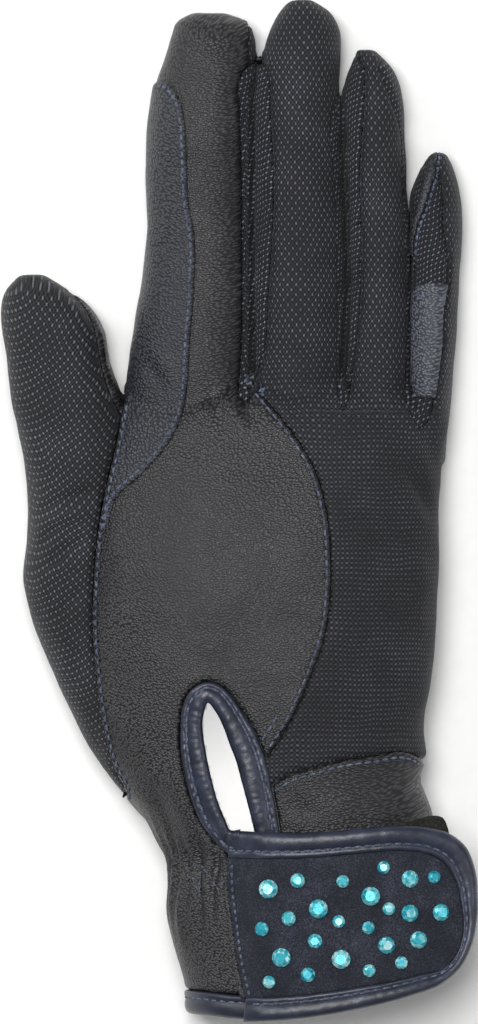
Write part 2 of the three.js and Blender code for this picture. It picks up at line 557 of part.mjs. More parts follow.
const leather = { color: 0x2f2d2f, roughness: 0.5 };
const mesh = { color: 0x1f2026, roughness: 0.8 };
const navy = { color: 0x262b3c, roughness: 0.55 };
const FINISH = {
  palm_leather: leather, back_leather: leather, thumb_leather: leather, little_tip_patch: leather,
  wrist_band: leather, cuff_hem: navy, keyhole_binding: navy, strap_binding: navy,
  index_side_patch: { color: 0x3c3f47, roughness: 0.5 },
  little_rein_patch: { color: 0x474c58, roughness: 0.5 },
  strap: { color: 0x22242c, roughness: 0.85 }, hook_tape: { color: 0x1c1d1a, roughness: 0.95 },
};

const glove = new THREE.Group();
for (const [name, solid] of Object.entries(solids)) {
  const { color, roughness } = FINISH[name] || mesh;
  const finish = new THREE.MeshStandardMaterial({ color, roughness, metalness: 0 });
  const piece = new THREE.Mesh(geometryOf(mainBody(solid.simplify(FINENESS))), finish);
  piece.name = name;
  glove.add(piece);
}

// Each crystal is flat behind, with a girdle, a ring of sloping facets and a table.
const GIRDLE = 0.12;
function stoneGeometry(diameter) {
  const radius = diameter / 2;
  const [girdle, rise] = [GIRDLE * diameter, STONE_RISE * diameter];
  const profile = [[0, 0], [radius, 0], [radius, girdle], [radius * STONE_TABLE, rise], [0, rise]];
  const geometry = new THREE.LatheGeometry(profile.map(([r, h]) => new THREE.Vector2(r, h)), STONE_SIDES);
  return geometry.rotateX(Math.PI / 2);
}
const crystal = new THREE.MeshStandardMaterial({
  color: 0x27a9bf, roughness: 0.08, metalness: 0.1, flatShading: true,
});
STONES.forEach(([u, v, size], i) => {
  const [x, y] = onStrap([u, v]);
  const j = strapLine.findIndex(([lineX]) => lineX > x);
  const [[x0, z0], [x1, z1]] = [strapLine[j - 1], strapLine[j]];
  const slope = (z1 - z0) / (x1 - x0);
  const stone = new THREE.Mesh(stoneGeometry(SIZES[size]), crystal);
  stone.name = `crystal_${String(i + 1).padStart(2, "0")}`;
  stone.rotation.y = -Math.atan(slope);
  stone.position.set(x, y, z0 + slope * (x - x0) + STRAP_WALL + SEAM_GAP);
  glove.add(stone);
});

// The origin is under the middle of the outline.
const bounds = new THREE.Box3().setFromObject(glove);
const centre = bounds.getCenter(new THREE.Vector3());
glove.position.set(-centre.x, -centre.y, -bounds.min.z);

export default glove;
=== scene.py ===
# %% [markdown]
# # A riding glove of leather and knitted mesh
# The glove lies palm down, with its fingers away from the reader. It is a bag of thin panels: leather where
# it wears, knitted mesh where the hand must breathe. This lesson first makes the whole bag as one smooth
# skin, and then cuts that skin into its panels along the seams, as a glove cutter does in reverse.

# %% Load the frame
import math
import bpy
import numpy as np
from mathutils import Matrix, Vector, noise
from mathutils.bvhtree import BVHTree
from mathutils.kdtree import KDTree


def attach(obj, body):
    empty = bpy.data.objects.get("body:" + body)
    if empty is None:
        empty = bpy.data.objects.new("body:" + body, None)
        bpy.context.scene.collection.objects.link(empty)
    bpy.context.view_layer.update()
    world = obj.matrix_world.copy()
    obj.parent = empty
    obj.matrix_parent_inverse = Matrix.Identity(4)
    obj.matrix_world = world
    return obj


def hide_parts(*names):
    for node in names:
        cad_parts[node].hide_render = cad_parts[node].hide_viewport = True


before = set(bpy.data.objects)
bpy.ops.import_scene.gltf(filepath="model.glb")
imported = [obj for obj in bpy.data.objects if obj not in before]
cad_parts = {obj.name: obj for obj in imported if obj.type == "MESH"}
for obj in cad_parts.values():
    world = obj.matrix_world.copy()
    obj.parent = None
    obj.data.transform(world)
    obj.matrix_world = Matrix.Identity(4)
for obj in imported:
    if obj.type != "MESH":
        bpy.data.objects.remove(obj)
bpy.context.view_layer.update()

# %% [markdown]
# ## Sizes
# The work is done in millimetres, with x 0 at the root of the index finger's outer side and y 0 near the
# lowest point of the hem. Each finger is a table of sections. A row holds how far along it is, its left and
# right edges as shares of the finger's width, and its top and underside as shares of the finger's depth.

# %% Sizes of the glove
MM = 0.001
HAND_LENGTH = 140.4
HAND_DEPTH = 31
FORK_GAP = 0.4
WALL = 1.2
SIDE_SEAM = 3.9
TOP_ROUNDNESS = 2.3
UNDER_ROUNDNESS = 2.6
FLOOR_SINK = 0.32
MIDDLE_OF_OUTLINE = (24.71, 111.86)

FINGERS = {
    "index": {"width": 24, "depth": 19, "length": 84.8, "root": 0, "rows": [
        (-0.16, 0.06, 1.02, 0.98, 0), (0, 0, 1.147, 1.05, 0), (0.13, 0.057, 1.147, 1.04, 0),
        (0.25, 0.137, 1.147, 1, 0), (0.41, 0.194, 1.14, 0.98, 0), (0.57, 0.209, 1.14, 0.96, 0),
        (0.72, 0.228, 1.142, 0.95, 0), (0.83, 0.275, 1.15, 0.91, 0), (0.9, 0.365, 1.19, 0.86, 0),
        (0.95, 0.417, 1.166, 0.76, 0.03), (0.982, 0.474, 1.09, 0.63, 0.12), (1, 0.607, 0.9, 0.5, 0.25),
    ]},
    "middle": {"width": 20.5, "depth": 18.5, "length": 87.6, "root": 0, "rows": [
        (-0.16, 0.02, 0.95, 1, 0), (0, 0, 0.99, 1.08, 0), (0.13, 0, 1.015, 1.06, 0),
        (0.24, -0.005, 1.035, 1.04, 0), (0.39, -0.005, 1.03, 1.02, 0), (0.55, -0.005, 1, 1, 0),
        (0.67, 0, 0.985, 0.99, 0), (0.78, 0.03, 0.95, 0.95, 0), (0.87, 0.13, 0.975, 0.88, 0),
        (0.94, 0.22, 0.93, 0.77, 0.02), (0.98, 0.33, 0.79, 0.63, 0.12), (1, 0.42, 0.64, 0.5, 0.25),
    ]},
    "ring": {"width": 14.3, "depth": 17.5, "length": 76.9, "root": 0, "rows": [
        (-0.16, 0.06, 1, 1.02, 0), (0, 0, 1.058, 1.08, 0), (0.13, 0.03, 1.069, 1.05, 0),
        (0.23, 0.059, 1.069, 1.03, 0), (0.35, 0.075, 1.061, 1.01, 0), (0.48, 0.06, 1.037, 1, 0),
        (0.62, 0.02, 0.986, 0.98, 0), (0.75, 0, 0.942, 0.94, 0), (0.84, -0.015, 0.934, 0.88, 0),
        (0.91, 0.04, 0.862, 0.8, 0), (0.96, 0.13, 0.72, 0.68, 0.06), (1, 0.21, 0.5, 0.5, 0.2),
    ]},
    "little": {"width": 12, "depth": 15.5, "length": 58.7, "root": -0.0406, "rows": [
        (-0.2, 0.02, 0.64, 1, 0.1), (0, 0, 0.72, 1.1, 0), (0.15, 0, 0.758, 1.1, 0),
        (0.3, 0, 0.815, 1.06, 0), (0.45, 0, 0.878, 1.03, 0), (0.62, -0.01, 0.929, 1, 0),
        (0.76, -0.02, 0.954, 0.95, 0), (0.85, 0, 0.929, 0.88, 0), (0.92, 0.15, 0.844, 0.78, 0.02),
        (0.97, 0.28, 0.74, 0.64, 0.1), (1, 0.42, 0.645, 0.5, 0.22),
    ]},
}
THUMB = {"width": 23.5, "depth": 20.5, "length": 124, "root": -0.705, "rows": [
    (-0.02, 1.56, 1.9, 0.7, 0.02), (0.045, 1.23, 1.92, 0.86, 0), (0.12, 0.93, 1.86, 0.93, 0),
    (0.2, 0.71, 1.76, 0.97, 0), (0.3, 0.48, 1.55, 1, 0), (0.37, 0.33, 1.38, 1, 0),
    (0.43, 0.255, 1.26, 1, 0), (0.52, 0.28, 1.21, 1.02, 0), (0.61, 0.28, 1.22, 1.03, 0),
    (0.69, 0.235, 1.25, 1.02, 0), (0.77, 0.14, 1.2, 1, 0), (0.84, 0.075, 1.07, 0.97, 0),
    (0.9, 0.02, 1.01, 0.92, 0), (0.94, 0.01, 0.88, 0.85, 0), (0.975, 0.07, 0.64, 0.73, 0.08),
    (1, 0.2, 0.42, 0.52, 0.24),
]}
HAND = {"depth": HAND_DEPTH, "length": HAND_LENGTH, "root": -1, "rows": [
    (-0.06, 0.2, 0.96, 0.96, 0), (0.019, 0.179, 0.975, 0.97, 0), (0.084, 0.15, 0.985, 0.985, 0),
    (0.149, 0.128, 0.99, 0.985, 0), (0.198, 0.132, 0.98, 0.965, 0), (0.233, 0.12, 0.97, 0.92, 0),
    (0.271, 0.078, 0.955, 0.94, 0), (0.311, 0.038, 0.935, 0.96, 0), (0.344, -0.013, 0.917, 0.97, 0),
    (0.373, -0.048, 0.909, 0.98, 0), (0.404, -0.082, 0.931, 0.985, 0), (0.438, -0.104, 0.922, 0.99, 0),
    (0.506, -0.136, 0.942, 1, 0), (0.587, -0.154, 0.959, 1, 0), (0.668, -0.15, 0.965, 0.985, 0),
    (0.749, -0.142, 0.967, 0.95, 0), (0.83, -0.12, 0.975, 0.89, 0), (0.895, -0.082, 0.987, 0.82, 0),
    (0.943, -0.048, 1, 0.76, 0), (0.976, -0.022, 1, 0.68, 0), (1, -0.003, 0.995, 0.58, 0),
    (1.016, 0.02, 0.97, 0.45, 0),
]}

# %% Where each finger starts
edge = 0
for finger in FINGERS.values():
    finger["start"] = edge - finger["rows"][1][1] * finger["width"]
    edge += (finger["rows"][1][2] - finger["rows"][1][1]) * finger["width"] + FORK_GAP
KNUCKLES = edge - FORK_GAP
THUMB["start"] = -0.41 * KNUCKLES
HAND["start"], HAND["width"] = 0, KNUCKLES
for part in [*FINGERS.values(), THUMB, HAND]:
    part["base"] = (1 + part["root"]) * HAND_LENGTH
print(f"{KNUCKLES:.1f} mm across the knuckles")

# %% [markdown]
# ## A smooth section at any place
# A table has few rows, so a curve runs through each column. A section is a superellipse: an ellipse whose
# exponent is a little over 2, which gives the fuller shoulders of a stuffed glove. What would be under the
# floor is pressed flat on it.

# %% Sections
def curve(knots, values, at):
    knots, values, at = np.asarray(knots, float), np.asarray(values, float), np.asarray(at, float)
    slopes = np.gradient(values, knots)
    i = np.clip(np.searchsorted(knots, at) - 1, 0, len(knots) - 2)
    h = knots[i + 1] - knots[i]
    t = np.clip((at - knots[i]) / h, 0, 1)
    a, b = values[i], values[i + 1]
    rise = (t ** 3 - 2 * t ** 2 + t) * slopes[i] + (t ** 3 - t ** 2) * slopes[i + 1]
    return (2 * t ** 3 - 3 * t ** 2 + 1) * a + (3 * t ** 2 - 2 * t ** 3) * b + rise * h


def section(part, y):
    rows = np.array(part["rows"])
    along = (np.asarray(y, float) - part["base"]) / part["length"]
    left, right, top, under = (curve(rows[:, 0], rows[:, c], along) for c in (1, 2, 3, 4))
    left, right = (part["start"] + part["width"] * side for side in (left, right))
    return left, right, top * part["depth"], np.maximum(under, 0) * part["depth"]


def ring(part, y, turn, grow=0.0):
    left, right, top, under = section(part, y)
    widest = under + (top - under) * 0.4
    c, s = np.cos(turn), np.sin(turn)
    power = np.where(s > 0, 2 / TOP_ROUNDNESS, 2 / UNDER_ROUNDNESS)
    side, up = np.sign(c) * np.abs(c) ** power, np.sign(s) * np.abs(s) ** power
    x = (left + right) / 2 + ((right - left) / 2 + grow) * side
    below = widest - under + FLOOR_SINK * (top - under) + grow
    z = widest + up * np.where(s > 0, top - widest + grow, below)
    return np.stack([x, y + 0 * x, np.maximum(z, under - np.minimum(grow, 0))], -1)


# %% [markdown]
# ## One skin
# The fingers lie so close that a remesh would weld them together, so they are made a little spread, like a
# hand held open. A voxel remesh then joins hand, fingers and thumb into one skin with soft webs, and closing
# the fingers again puts each one back in its place, where it presses softly on its neighbours.

# %% Lofts of the hand, the fingers and the thumb
SPREAD = 2.6
SPREAD_FROM, SPREAD_OVER = HAND_LENGTH - 8, 14
VOXEL = 0.75


def eased(t):
    return t * t * (3 - 2 * t)


def spread_share(y):
    return eased(np.clip((y - SPREAD_FROM) / SPREAD_OVER, 0, 1))


def tube_faces(rings, sides):
    faces = [
        (j * sides + i, j * sides + (i + 1) % sides, (j + 1) * sides + (i + 1) % sides, (j + 1) * sides + i)
        for j in range(rings - 1) for i in range(sides)
    ]
    return faces + [tuple(range(sides))[::-1], tuple(range((rings - 1) * sides, rings * sides))]


def flipped(faces):
    return [face[::-1] for face in faces]


def loft(part, sides, push=0.0):
    rows = part["rows"]
    ys = np.linspace(rows[0][0], rows[-1][0], int((rows[-1][0] - rows[0][0]) * part["length"]) + 1)
    ys = part["base"] + ys * part["length"]
    turns = (np.arange(sides) + 0.5) * 2 * np.pi / sides
    points = ring(part, ys[:, None], turns[None, :])
    points[..., 0] += push * spread_share(points[..., 1])
    return points.reshape(-1, 3), flipped(tube_faces(len(ys), sides))


def mesh_of(name, points, faces):
    mesh = bpy.data.meshes.new(name)
    mesh.from_pydata([tuple(p) for p in points], [], faces)
    mesh.validate()
    return mesh


def scratch(mesh):
    thing = bpy.data.objects.new(mesh.name, mesh)
    bpy.context.scene.collection.objects.link(thing)
    return thing


def settled(thing):
    bpy.context.view_layer.update()
    shape = bpy.data.meshes.new_from_object(thing.evaluated_get(bpy.context.evaluated_depsgraph_get()))
    bpy.data.objects.remove(thing)
    return shape


points, faces = loft(HAND, 160)
for part, sides, push in [*((f, 72, i * SPREAD) for i, f in enumerate(FINGERS.values())), (THUMB, 80, 0)]:
    more, quads = loft(part, sides, push)
    faces += [tuple(i + len(points) for i in quad) for quad in quads]
    points = np.concatenate([points, more])
rough = scratch(mesh_of("skin", points, faces))
remesh = rough.modifiers.new("one_skin", "REMESH")
remesh.mode, remesh.voxel_size = "VOXEL", VOXEL
skin = settled(rough)


def points_of(mesh):
    flat = np.empty(len(mesh.vertices) * 3)
    mesh.vertices.foreach_get("co", flat)
    return flat.reshape(-1, 3)


def normals_of(mesh):
    flat = np.empty(len(mesh.vertices) * 3)
    mesh.vertex_normals.foreach_get("vector", flat)
    return flat.reshape(-1, 3)


def move_to(mesh, points):
    mesh.vertices.foreach_set("co", points.ravel())
    mesh.update()


p = points_of(skin)
print(f"the skin has {len(p)} points, from {p.min(0).round(1)} to {p.max(0).round(1)}")

# %% Close the fingers
PRESS, PRESS_FROM, PRESS_OVER = 0.3, 2, 3
SQUEEZE_DEPTH = 3
TIP_FREE, TIP_FADE = 8, 6


def closed(p):
    share = spread_share(p[:, 1])
    order = list(FINGERS.values())
    shift = np.zeros(len(p))
    for i, (a, b) in enumerate(zip(order, order[1:])):
        start = section(a, p[:, 1])[1] + i * SPREAD * share
        end = section(b, p[:, 1])[0] + (i + 1) * SPREAD * share
        shift += SPREAD * np.clip((p[:, 0] - start) / np.maximum(end - start, 0.05), 0, 1)
    out = p.copy()
    out[:, 0] -= shift * share
    for a, b in zip(order, order[1:]):
        x, y, z = out.T
        right, left = section(a, y)[1], section(b, y)[0]
        tip = min(finger["base"] + finger["length"] for finger in (a, b))
        press = PRESS * np.clip((z - PRESS_FROM) / PRESS_OVER, -0.5, 1)
        squeeze = ((left - right) / 2 + press) * share * np.clip((tip - TIP_FREE - y) / TIP_FADE, 0, 1)
        on_left = x < (left + right) / 2
        inside = np.maximum(np.where(on_left, right - x, x - left), 0)
        out[:, 0] += squeeze * np.exp(-inside / SQUEEZE_DEPTH) * np.where(on_left, 1, -1)
    return out


def relaxed(mesh, p, rounds):
    ends = np.empty(len(mesh.edges) * 2, dtype=np.int64)
    mesh.edges.foreach_get("vertices", ends)
    a, b = ends.reshape(-1, 2).T
    degree = np.bincount(ends, minlength=len(p))[:, None]
    for strength in [0.55, -0.57] * rounds:
        total = np.zeros_like(p)
        for axis in range(3):
            total[:, axis] = np.bincount(a, p[b, axis], len(p)) + np.bincount(b, p[a, axis], len(p))
        p = p + strength * (total / degree - p)
    return p


p = closed(relaxed(skin, p, 7))
p[:, 2] = np.maximum(p[:, 2], 0)
move_to(skin, p)

# %% [markdown]
# ## Seam lines
# A seam is a line in the plan, seen from above. On the hand its points are shares of the width across the
# knuckles and of the hand's length, and on a finger they are shares of its length and of its own width
# there.

# %% Places in the plan
def on_hand(points):
    return np.array(points) * (KNUCKLES, HAND_LENGTH)


def on_finger(finger, points):
    along, across = np.array(points).T
    rows = np.array(finger["rows"])
    left, right = (np.interp(along, rows[:, 0], rows[:, c]) for c in (1, 2))
    x = finger["start"] + finger["width"] * (left + across * (right - left))
    return np.stack([x, finger["base"] + along * finger["length"]], -1)


def smooth_line(points, step=1.0):
    points = np.asarray(points, float)
    knots = np.concatenate([[0], np.cumsum(np.linalg.norm(np.diff(points, axis=0), axis=1))])
    at = np.linspace(0, knots[-1], max(2, int(knots[-1] / step) + 1))
    return np.stack([curve(knots, points[:, axis], at) for axis in range(points.shape[1])], -1)


def offset(line, distance):
    ahead = np.gradient(line, axis=0)
    ahead /= np.linalg.norm(ahead, axis=1, keepdims=True)
    return line + distance * np.stack([ahead[:, 1], -ahead[:, 0]], -1)


index, middle, ring_finger, little = FINGERS.values()
SEAMS = {
    "index_right": on_finger(index, [
        (-0.02, 0.915), (0.13, 0.925), (0.35, 0.925), (0.57, 0.92), (0.75, 0.89), (0.82, 0.88), (0.855, 0.94),
        (0.88, 1.12)]),
    "middle_left": on_finger(middle, [
        (-0.01, -0.01), (0.09, 0.12), (0.24, 0.166), (0.48, 0.226), (0.73, 0.183), (0.81, 0.115),
        (0.86, -0.08)]),
    "middle_right": on_finger(middle, [(-0.02, 0.955), (0.2, 0.93), (0.5, 0.92), (0.72, 0.93), (0.8, 1.08)]),
    "ring_left": on_finger(ring_finger, [
        (-0.04, 0.06), (0.06, 0.13), (0.15, 0.168), (0.27, 0.196), (0.48, 0.213), (0.63, 0.24), (0.77, 0.32),
        (0.88, 0.36), (0.95, 0.3), (0.985, -0.1)]),
    "ring_right": on_finger(ring_finger, [
        (-0.04, 0.95), (0.3, 0.945), (0.6, 0.95), (0.78, 0.94), (0.83, 0.85), (0.9, 0.74), (0.95, 0.72),
        (0.985, 1.6)]),
    "little_left": on_finger(little, [
        (-0.03, 0.5), (0.1, 0.6), (0.22, 0.69), (0.4, 0.69), (0.5, 0.75), (0.62, 0.73), (0.68, 0.65),
        (0.876, 0.596), (0.93, 0.5), (0.96, -0.15)]),
    "thumb": on_hand([
        (-0.021, 0.971), (-0.038, 0.92), (-0.078, 0.83), (-0.101, 0.765), (-0.115, 0.684), (-0.118, 0.603),
        (-0.107, 0.53), (-0.088, 0.457), (-0.053, 0.384), (-0.013, 0.334), (-0.089, 0.29)]),
    "thumb_strip": on_hand([
        (-0.267, 1.22), (-0.213, 1.167), (-0.168, 1.144), (-0.132, 1.121), (-0.106, 1.086), (-0.092, 1.048),
        (-0.075, 1.01), (-0.052, 0.977), (-0.022, 0.95)]),
    "thumb_palm": on_hand([
        (-0.02, 0.971), (0.01, 0.88), (0, 0.77), (-0.069, 0.68), (-0.198, 0.62), (-0.337, 0.6)]),
    "oval": on_hand([
        (0.374, 1.011), (0.425, 0.979), (0.512, 0.922), (0.581, 0.862), (0.616, 0.796), (0.629, 0.718),
        (0.629, 0.676), (0.609, 0.595), (0.56, 0.522), (0.495, 0.449), (0.416, 0.385)]),
    "band": on_hand([
        (0.416, 0.345), (0.441, 0.352), (0.49, 0.368), (0.572, 0.382), (0.66, 0.394), (0.77, 0.402),
        (0.848, 0.408), (0.891, 0.402), (0.931, 0.388), (1.089, 0.37)]),
    "keyhole_outer": on_hand([
        (0.313, 0.241), (0.287, 0.25), (0.257, 0.267), (0.222, 0.292), (0.196, 0.323), (0.174, 0.364),
        (0.16, 0.405), (0.158, 0.447), (0.166, 0.484), (0.19, 0.507), (0.242, 0.521), (0.282, 0.515),
        (0.319, 0.496), (0.35, 0.473), (0.382, 0.447), (0.411, 0.415), (0.431, 0.381), (0.446, 0.344),
        (0.465, 0.287), (0.495, 0.17), (0.522, 0.05)]),
    "keyhole_inner": on_hand([
        (0.313, 0.28), (0.296, 0.297), (0.274, 0.324), (0.254, 0.36), (0.239, 0.395), (0.228, 0.43),
        (0.226, 0.463), (0.245, 0.488), (0.27, 0.473), (0.294, 0.449), (0.314, 0.421), (0.335, 0.393),
        (0.35, 0.364), (0.366, 0.333), (0.388, 0.287), (0.421, 0.17), (0.447, 0.05)]),
    "strap_seam": on_hand([
        (0.371, -0.02), (0.362, 0.011), (0.338, 0.071), (0.322, 0.134), (0.311, 0.185), (0.309, 0.236)]),
    "hem": on_hand([
        (-0.6, 0.03), (0.2, 0.02), (0.387, 0.014), (0.66, 0.045), (0.813, 0.075), (0.984, 0.12), (1.3, 0.3)]),
    "index_patch": on_hand([
        (0.087, 1.493), (0.113, 1.491), (0.135, 1.481), (0.159, 1.46), (0.172, 1.428), (0.178, 1.377),
        (0.184, 1.301), (0.203, 1.237), (0.2, 1.149), (0.187, 1.063), (0.178, 0.99), (0.168, 0.961),
        (0.141, 0.924), (0.097, 0.89), (0.022, 0.849), (-0.038, 0.82), (-0.061, 0.783), (-0.065, 0.757)]),
    "rein_patch": on_finger(little, [
        (0.05, 0.02), (0.05, 0.62), (0.2, 0.68), (0.4, 0.71), (0.49, 0.76), (0.5, 0.4), (0.475, 0.02)]),
    "tip_patch": on_finger(little, [
        (0.6, -0.1), (0.6, 0.06), (0.66, 0.08), (0.72, 0.15), (0.78, 0.27), (0.85, 0.37), (0.91, 0.42),
        (0.965, 0.43), (1.02, 0.35), (1.02, -0.1)]),
}
STRAIGHT_SIDED = ("rein_patch", "tip_patch")
line = {name: smooth_line(points) for name, points in SEAMS.items() if name not in STRAIGHT_SIDED}

# %% [markdown]
# ## Shaping the skin
# Sewing pulls a glove in along its seams, and a hand that has been in it leaves folds. Both are strokes: a
# line, a width and a height, positive for a ridge and negative for a groove, fading out at its ends. The
# elastic at the wrist gathers the leather into short pleats, which are a wave across the cuff.

# %% Strokes
def reach(p, path):
    best = np.full(len(p), 1e9)
    at = np.zeros(len(p))
    run = 0.0
    for a, b in zip(path, path[1:]):
        d = b - a
        length = np.hypot(*d)
        t = np.clip(((p[:, :2] - a) @ d) / max(length ** 2, 1e-9), 0, 1)
        gap = np.hypot(*(p[:, :2] - a - t[:, None] * d).T)
        closer = gap < best
        best[closer], at[closer] = gap[closer], run + t[closer] * length
        run += length
    return best, at, run


def stroke(p, path, width, height, fade=6.0, pitch=0.0, pucker=0.0, low=6.0):
    lo, hi = path.min(0) - 3 * width, path.max(0) + 3 * width
    near = (p[:, :2] > lo).all(1) & (p[:, :2] < hi).all(1) & (p[:, 2] > low)
    out = np.zeros(len(p))
    gap, at, run = reach(p[near], path)
    ends = np.clip(np.minimum(at, run - at) / fade, 0, 1) if fade else 1
    shape = np.exp(-(gap / width) ** 2) * ends * height
    if pitch:
        shape = shape * (1 + pucker * np.cos(2 * np.pi * at / pitch))
    out[near] = shape
    return out


def plan(*points):
    return smooth_line(np.array(points, float))


FOLDS = [
    # creases of the thumb's mesh, from its outer side
    (plan((-22.5, 110), (-18, 113.5), (-13, 115), (-5, 117.5)), 1.3, -0.8),
    (plan((-21, 107), (-17, 110), (-11, 111.5), (-5, 113)), 1.5, 0.6),
    (plan((-22, 101), (-19, 106), (-15, 109)), 1.4, -0.7),
    (plan((-20, 99), (-13, 104), (-6, 107)), 1.4, -0.7),
    (plan((-21.5, 95), (-15, 99), (-8, 101)), 1.8, 0.5),
    (plan((-19, 86), (-13, 92), (-6, 96)), 1.6, -0.45),
    # the rolled mesh beside the index finger's leather
    (offset(line["index_right"], 1.25), 1.0, 0.75),
    # folds of the index finger's side patch and knuckle
    (plan((2.5, 149.6), (6, 143), (8.6, 137)), 2.0, -0.7),
    (plan((4.5, 151), (8, 145), (10.5, 139)), 2.0, 0.5),
    (plan((4.1, 171.8), (7.5, 172), (10.2, 171.8)), 0.9, -0.4),
    (plan((17, 142), (20, 134), (21.5, 127)), 1.8, -0.5),
    (plan((21, 141), (23.5, 134), (25.5, 128)), 1.8, 0.5),
    (plan((24, 141), (26.5, 135), (30, 130)), 1.4, -0.6),
    # the base of the little finger
    (plan((60.3, 126), (65.5, 118), (70, 108)), 1.6, -0.8),
    (plan((58.5, 123), (63, 115.5), (67.5, 107)), 2.2, 0.5),
    (plan((66, 133), (69, 126), (71, 118)), 1.6, -0.5),
    # around the keyhole and the wrist
    (plan((17.5, 78), (16.5, 71), (15, 66)), 2.6, 0.6),
    (plan((10, 60), (11.5, 48), (15, 36)), 2.6, 0.6),
    (plan((4, 52), (8.5, 42), (12, 33)), 1.8, -0.6),
    (plan((37.5, 48), (39.5, 45), (43, 41.5)), 1.2, -0.6),
    (plan((36, 44), (38, 41), (41.5, 38.5)), 1.3, 0.6),
    (plan((62, 54), (66, 50), (68, 44)), 1.8, -0.6),
    (plan((60, 62), (66, 58), (70, 56)), 2.0, -0.5),
    # the cuff's leather beside the strap
    (plan((12, 26), (12.5, 16), (14, 8)), 1.6, 0.4),
    (plan((16, 25), (16.5, 17), (18.5, 9)), 1.6, -0.4),
]
SEWN = {
    "index_right": (0.9, -0.55), "middle_left": (0.9, -0.6), "ring_left": (0.9, -0.65),
    "ring_right": (0.9, -0.3), "little_left": (0.8, -0.55), "thumb": (1.0, -0.45),
    "thumb_strip": (0.9, -0.4), "oval": (1.1, -0.3), "band": (1.1, -0.35),
}
STITCH_PITCH, PUCKER = 2.6, 0.35
GATHER_Y, GATHER_REACH = 28.5, 8.5
PLEAT_HEIGHT, PLEAT_WIDTH = 0.75, 4.6
FLOOR_FADE = 5


def gathers(p):
    x, y, z = p.T
    length = np.exp(-((y - GATHER_Y) / GATHER_REACH) ** 2)
    where = np.clip((26 - x) / 6, 0, 1) + 0.35 * np.clip((x - 60) / 8, 0, 1)
    across = x * 1.0 + z * 0.75
    wobble = 0.6 * np.sin(y * 0.35 + x * 0.6)
    return PLEAT_HEIGHT * length * where * np.cos(2 * np.pi * across / PLEAT_WIDTH + wobble) * (z > 1)


def softness(p, size, seed):
    return np.array([noise.noise(Vector((x / size, y / size, z / size + seed))) for x, y, z in p])


p = points_of(skin)
height = sum(stroke(p, path, width, rise) for path, width, rise in FOLDS)
for name, (width, depth) in SEWN.items():
    height = height + stroke(p, line[name], width, depth, 2.0, STITCH_PITCH, PUCKER)
height = height + gathers(p) + 0.75 * softness(p, 19, 3.1) + 0.2 * softness(p, 6, 7.7)
lift = np.clip(p[:, 2] / FLOOR_FADE, 0, 1)
p = p + normals_of(skin) * (height * lift)[:, None]
p[:, 2] = np.maximum(p[:, 2], 0)
move_to(skin, p)
print("the strokes reach from", height.min().round(2), "to", height.max().round(2), "mm")

# %% [markdown]
# ## Cutting the panels
# Each panel is the part of the skin inside an upright wall that stands on its outline. The Boolean
# modifier's manifold solver makes such a cut exactly and fast. Its wall faces get a material of their own,
# by which they are deleted again, and a Solidify modifier gives the open sheet that is left its thickness.

# %% Cutting tools
FAR = 400.0
BELOW, OVER = -60.0, 90.0
SEAM = 0.12
OPEN_PLAN = [(-FAR, -FAR), (FAR, -FAR), (FAR, FAR), (-FAR, FAR)]
cut_face = bpy.data.materials.new("cut")
kept_face = bpy.data.materials.new("kept")


def wall(outline, low, high):
    outline = np.asarray(outline, float)
    if np.sum(np.roll(outline[:, 0], -1) * outline[:, 1] - outline[:, 0] * np.roll(outline[:, 1], -1)) > 0:
        outline = outline[::-1]
    n = len(outline)
    points = [(x, y, z) for z in (low, high) for x, y in outline]
    sides = [(i, (i + 1) % n, n + (i + 1) % n, n + i) for i in range(n)]
    mesh = mesh_of("wall", points, sides + [tuple(range(n))[::-1], tuple(range(n, 2 * n))])
    mesh.materials.append(cut_face)
    return scratch(mesh)


def grown(outline, distance):
    outline = np.asarray(outline, float)
    area = np.sum(outline[:, 0] * np.roll(outline[:, 1], -1) - np.roll(outline[:, 0], -1) * outline[:, 1])
    arriving = outline - np.roll(outline, 1, axis=0)
    leaving = np.roll(outline, -1, axis=0) - outline
    arriving /= np.maximum(np.linalg.norm(arriving, axis=1, keepdims=True), 1e-9)
    leaving /= np.maximum(np.linalg.norm(leaving, axis=1, keepdims=True), 1e-9)
    ahead = arriving + leaving
    ahead /= np.maximum(np.linalg.norm(ahead, axis=1, keepdims=True), 1e-9)
    size = np.sign(area) * distance / np.maximum((ahead * leaving).sum(1, keepdims=True), 0.35)
    return outline + size * np.stack([ahead[:, 1], -ahead[:, 0]], -1)


skin.materials.clear()
skin.materials.append(kept_face)


def cut(keep=(), drop=(), solid=None):
    thing = scratch((solid or skin).copy())
    tools = []
    for operation, walls in (("INTERSECT", keep), ("DIFFERENCE", drop)):
        for outline, low, high in walls:
            tool = wall(outline, low, high)
            tools.append(tool)
            modifier = thing.modifiers.new(operation.lower(), "BOOLEAN")
            modifier.operation, modifier.object, modifier.solver = operation, tool, "MANIFOLD"
            modifier.material_mode = "TRANSFER"
    shape = settled(thing)
    for tool in tools:
        bpy.data.objects.remove(tool)
    return shape


def sheet_only(shape):
    names = [m.name if m else "" for m in shape.materials]
    slots = np.empty(len(shape.polygons), dtype=np.int32)
    shape.polygons.foreach_get("material_index", slots)
    corners = points_of(shape)
    faces = [tuple(f.vertices) for f, slot in zip(shape.polygons, slots) if names[slot] == "kept"]
    used = sorted({i for f in faces for i in f})
    place = {old: new for new, old in enumerate(used)}
    return corners[used], [tuple(place[i] for i in f) for f in faces]


# %% [markdown]
# ## The outlines of the panels
# The strips between the fingers, which glovers call fourchettes, come out of the skin first. What is left is
# shared by the thumb, the palm, and on the back a leather oval, a knitted mesh and a leather band at the
# wrist.

